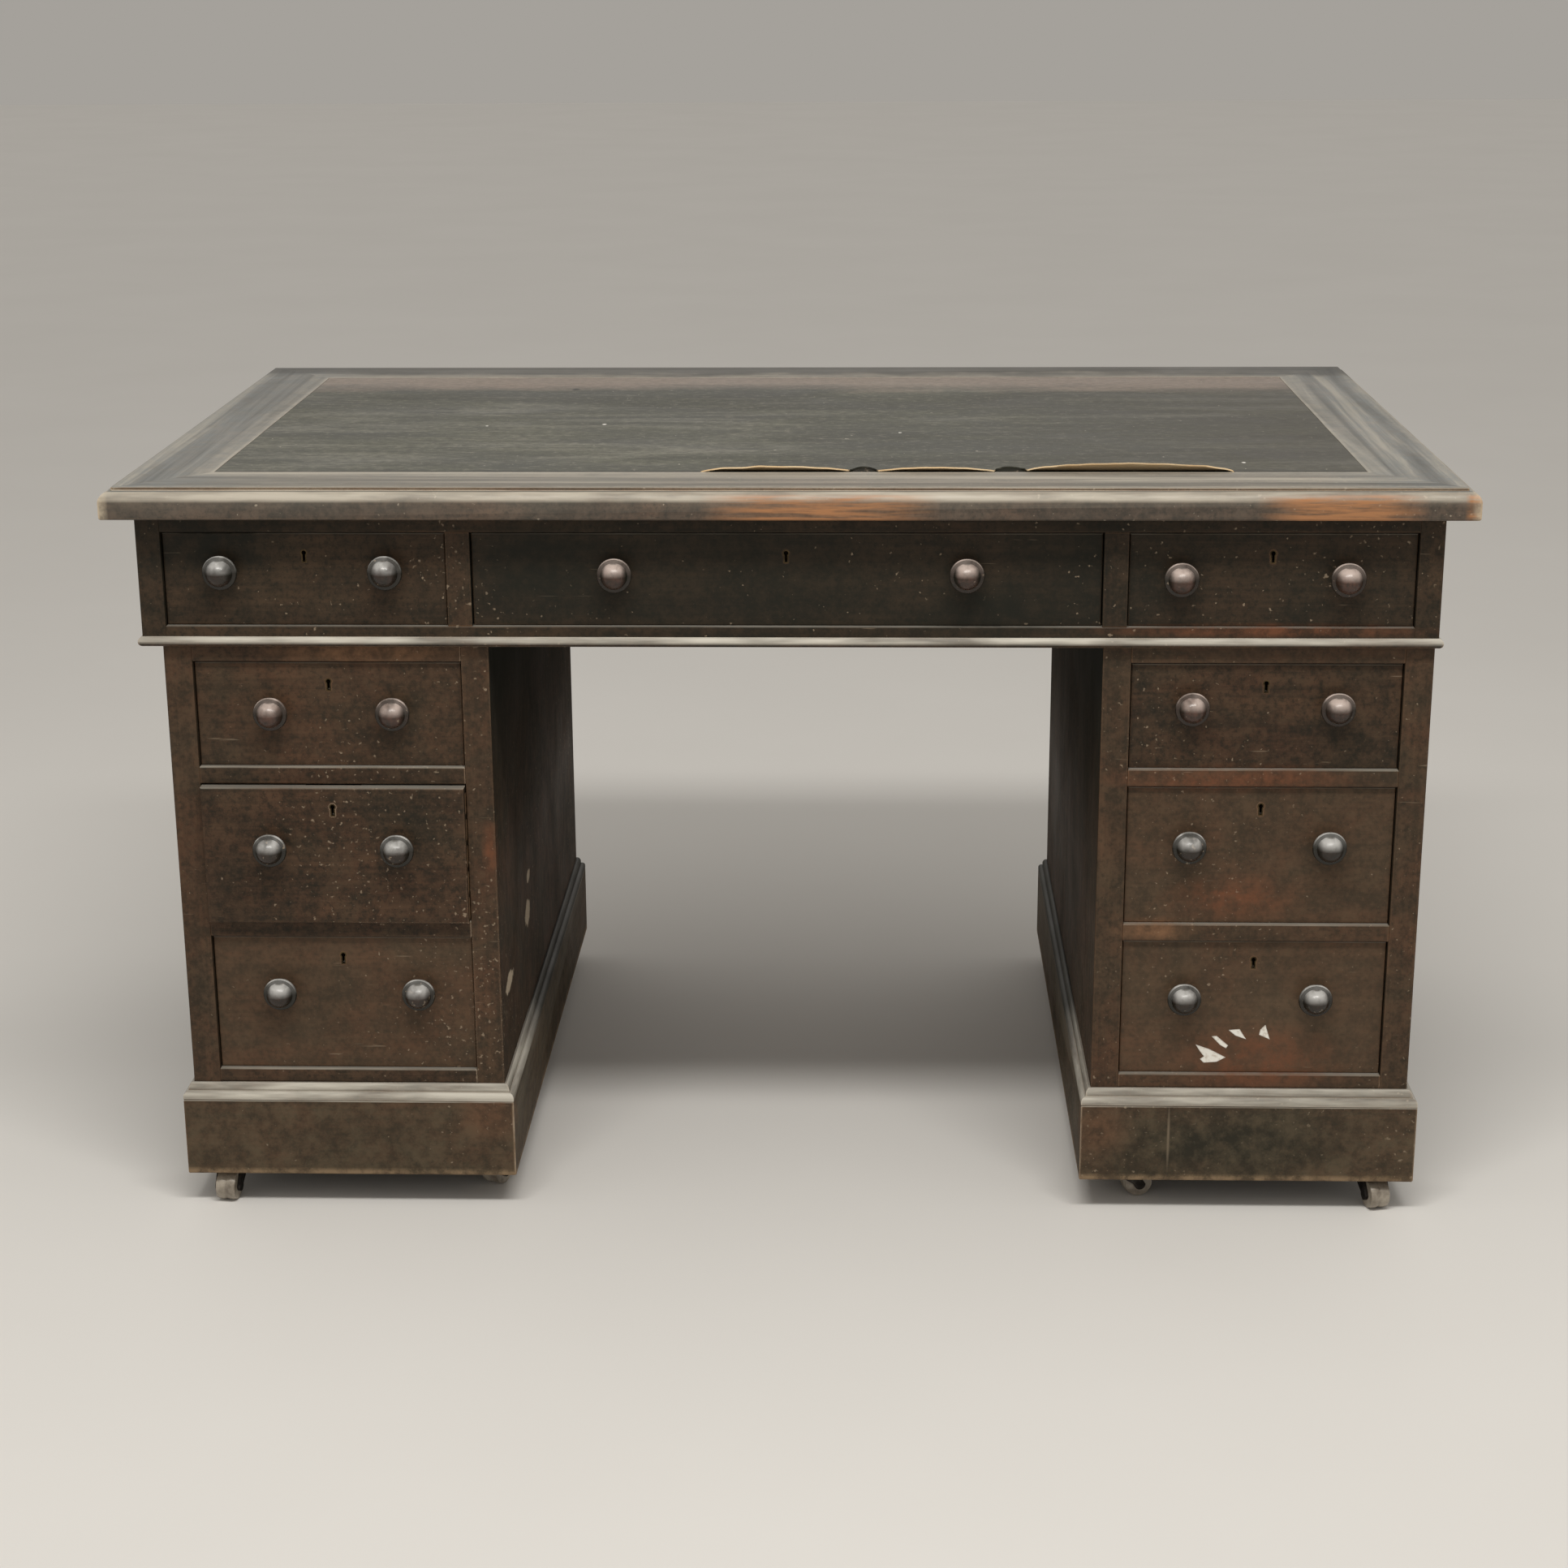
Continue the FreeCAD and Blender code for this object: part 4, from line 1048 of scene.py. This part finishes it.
def old_metal(name, clean, tarnish, rust, shine, dull):
    f = Finish(name)
    place = f.object_place()
    bloom = f.noise(place, 90, 5, 0.65)
    pitted = f.noise(place, 520, 3, 0.6)
    body = f.coats(
        clean, (f.remap(bloom, 0.36, 0.6), tarnish), (f.remap(pitted, 0.55, 0.72, 0, 0.7), rust),
        (f.remap(f.edge(0.0008), 0.03, 0.3, 0, 0.8), clean))
    gloss = f.remap(bloom, 0.35, 0.65, shine, dull)
    return f.set(Base_Color=body, Metallic=1, Roughness=gloss, Normal=f.bump(pitted, 0.3, 0.0003))


def china(name):
    f = Finish(name)
    place = f.object_place()
    cloud = f.noise(place, 60, 4, 0.6)
    craze = f.cells(place, 260)
    body = f.coats(
        (0.36, 0.315, 0.255), (f.remap(cloud, 0.4, 0.7), (0.12, 0.095, 0.07)),
        (f.remap(craze, 0, 0.12, 0.5, 0), (0.05, 0.038, 0.028)))
    gloss = f.remap(cloud, 0.3, 0.7, 0.22, 0.45)
    return f.set(Base_Color=body, Roughness=gloss, Normal=f.bump(cloud, 0.15, 0.0004))


brass_finish = old_metal(
    "tarnished_brass", (0.11, 0.078, 0.04), (0.045, 0.033, 0.02), (0.024, 0.019, 0.013), 0.4, 0.58)
steel_finish = old_metal(
    "bolt_steel", (0.42, 0.41, 0.39), (0.22, 0.2, 0.18), (0.12, 0.06, 0.035), 0.3, 0.5)
iron_finish = old_metal(
    "caster_iron", (0.055, 0.051, 0.047), (0.022, 0.019, 0.017), (0.045, 0.023, 0.013), 0.45, 0.65)
china_finish = china("wheel_china")


def refinish(node, finish):
    for material_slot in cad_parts[node].material_slots:
        material_slot.material = finish


HORN_NAMES = [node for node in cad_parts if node.endswith("_caster_horn")]
WHEEL_NAMES = [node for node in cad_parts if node.endswith("_caster_wheel")]
for drawer in FRONT_TONES:
    refinish(drawer + "_drawer_lock", brass_finish)
    refinish(drawer + "_lock_bolt", steel_finish)
for node in HORN_NAMES + ["caster_plates"]:
    refinish(node, iron_finish)
for node in WHEEL_NAMES:
    refinish(node, china_finish)
print("casters", len(HORN_NAMES), "wheels", len(WHEEL_NAMES))

# %% [markdown]
# ## Screws
# Slotted screws hold each lock case to its drawer front and each caster plate to its corner block. They are
# too small for the frame, so a second tree makes them: a short cylinder with a slot cut by a boolean, set on
# points and turned at random, because nobody lines up the slots of old screws.

# %% Screw tree
HEAD_SIDES = 20


def screw_tree():
    tree, ids = new_tree("slotted_screws", {
        "Head Radius": "Float", "Head Height": "Float", "Slot Size": "Vector", "Facing": "Vector",
        "Seed": "Int", "Finish": "Material"})
    given, head, slot, raise_slot, half_height, to_top, cut, turn, aim = added(
        tree, "NodeGroupInput", "GeometryNodeMeshCylinder", "GeometryNodeMeshCube", "GeometryNodeTransform",
        "ShaderNodeMath", "ShaderNodeCombineXYZ", "GeometryNodeMeshBoolean", "ShaderNodeCombineXYZ",
        "FunctionNodeAlignRotationToVector")
    head.inputs["Vertices"].default_value = HEAD_SIDES
    half_height.operation = "MULTIPLY"
    half_height.inputs[1].default_value = 0.5
    cut.operation = "DIFFERENCE"
    aim.axis = "Z"
    largest, angle = random_angle(tree, given.outputs["Seed"])
    largest.default_value = math.pi
    tree.links.new(angle, turn.inputs["Z"])
    join(
        tree, (given, "Head Radius", head, "Radius"), (given, "Head Height", head, "Depth"),
        (given, "Slot Size", slot, "Size"), (given, "Head Height", half_height, 0),
        (half_height, 0, to_top, "Z"), (slot, "Mesh", raise_slot, "Geometry"),
        (to_top, "Vector", raise_slot, "Translation"), (head, "Mesh", cut, "Mesh 1"),
        (raise_slot, "Geometry", cut, "Mesh 2"), (turn, "Vector", aim, "Rotation"),
        (given, "Facing", aim, "Vector"))
    set_on_points(tree, given, cut.outputs["Mesh"], aim.outputs["Rotation"])
    return tree, ids


# %% Set the screws
screws, screw_ids = screw_tree()
SCREW_INSET = 4.5 * MM
HEAD_HEIGHT, SLOT_WIDTH, SLOT_SHARE = 1.2 * MM, 0.7 * MM, 3
LOCK_SCREW_RADIUS, PLATE_SCREW_RADIUS = 2.2 * MM, 2.4 * MM
PLATE_SCREW_SINK = 0.4 * MM
PLATE_SCREW_SEED = 31


def screw_settings(radius, facing, seed, finish):
    slot_size = (SLOT_SHARE * radius, SLOT_WIDTH, HEAD_HEIGHT)
    return {
        "Head Radius": radius, "Head Height": HEAD_HEIGHT, "Slot Size": slot_size,
        "Facing": facing, "Seed": seed, "Finish": finish}


def corner_points(low, high, across, up, level):
    """The four corners of a plate, moved in by the screws' inset."""
    points = []
    for first in (low[across] + SCREW_INSET, high[across] - SCREW_INSET):
        for second in (low[up] + SCREW_INSET, high[up] - SCREW_INSET):
            point = [level, level, level]
            point[across], point[up] = first, second
            points.append(point)
    return points


for number, drawer in enumerate(FRONT_TONES):
    low, high = board_box(cad_boards(drawer + "_drawer_lock")[0])
    points = corner_points(low, high, ALONG_X, ALONG_Z, high.y)
    settings = screw_settings(LOCK_SCREW_RADIUS, (0, 1, 0), number, brass_finish)
    lock_screws = grown(drawer + "_lock_screws", points, screws, screw_ids, settings)
    fit(lock_screws, drawer + "_drawer", "lock_brass")
plate_points = []
for triangles in cad_boards("caster_plates"):
    low, high = board_box(triangles)
    plate_points += corner_points(low, high, ALONG_X, ALONG_Y, low.z + PLATE_SCREW_SINK)
settings = screw_settings(PLATE_SCREW_RADIUS, (0, 0, -1), PLATE_SCREW_SEED, iron_finish)
plate_screws = grown("caster_plate_screws", plate_points, screws, screw_ids, settings)
fit(plate_screws, "desk", "caster_iron")
print("screw faces", len(plate_screws.data.polygons))

# %% [markdown]
# ## Filler chips
# The lowest right drawer front was patched with pale filler, and four flakes of it still show. Each flake is
# a thin piece let into the face, with an outline drawn in millimetres about its own middle.

# %% Filler chips
CHIPS = (
    ((429, 169), ((-14, 11), (0, 6), (17, -3), (8, -8), (-5, -9), (-9, -5), (-5, -2), (-9, 3))),
    ((439, 183), ((-8, 6), (-3, 6.5), (9, -4), (7, -7), (1, -3.5))),
    ((457, 192), ((-9, 4), (2, 5), (9, -6), (-2, -2))),
    ((484, 194), ((1, 8), (6, -8), (-5, -3), (-4, 2.5))))
CHIP_PROUD = 0.25 * MM
CHIP_DEEP = 0.4 * MM


def filler(name):
    f = Finish(name)
    place = f.object_place()
    soil = f.noise(place, 160, 5, 0.65)
    body = f.coats(
        (0.84, 0.81, 0.74), (f.remap(soil, 0.5, 0.75), (0.5, 0.42, 0.33)),
        (f.remap(f.edge(0.002), 0.05, 0.3, 0, 0.6), (0.16, 0.11, 0.07)))
    gloss = f.remap(soil, 0.3, 0.7, 0.7, 0.9)
    return f.set(Base_Color=body, Roughness=gloss, Normal=f.bump(soil, 0.4, 0.0005))


def filler_chips():
    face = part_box("right_bottom_drawer_box")[0].y
    work = bmesh.new()
    for middle, outline in CHIPS:
        rings = []
        for y in (face - CHIP_PROUD, face + CHIP_DEEP):
            rings.append([
                work.verts.new(((middle[0] + x) * MM, y, (middle[1] + z) * MM)) for x, z in outline])
        outer, inner = rings
        work.faces.new(outer)
        work.faces.new(list(reversed(inner)))
        for index in range(len(outer)):
            after = (index + 1) % len(outer)
            work.faces.new((outer[index], inner[index], inner[after], outer[after]))
    bmesh.ops.recalc_face_normals(work, faces=work.faces)
    piece = finished("filler_chips", work, filler("pale_filler"))
    return fit(piece, "right_bottom_drawer", "stained_wood")


chips = filler_chips()
print("chip faces", len(chips.data.polygons))
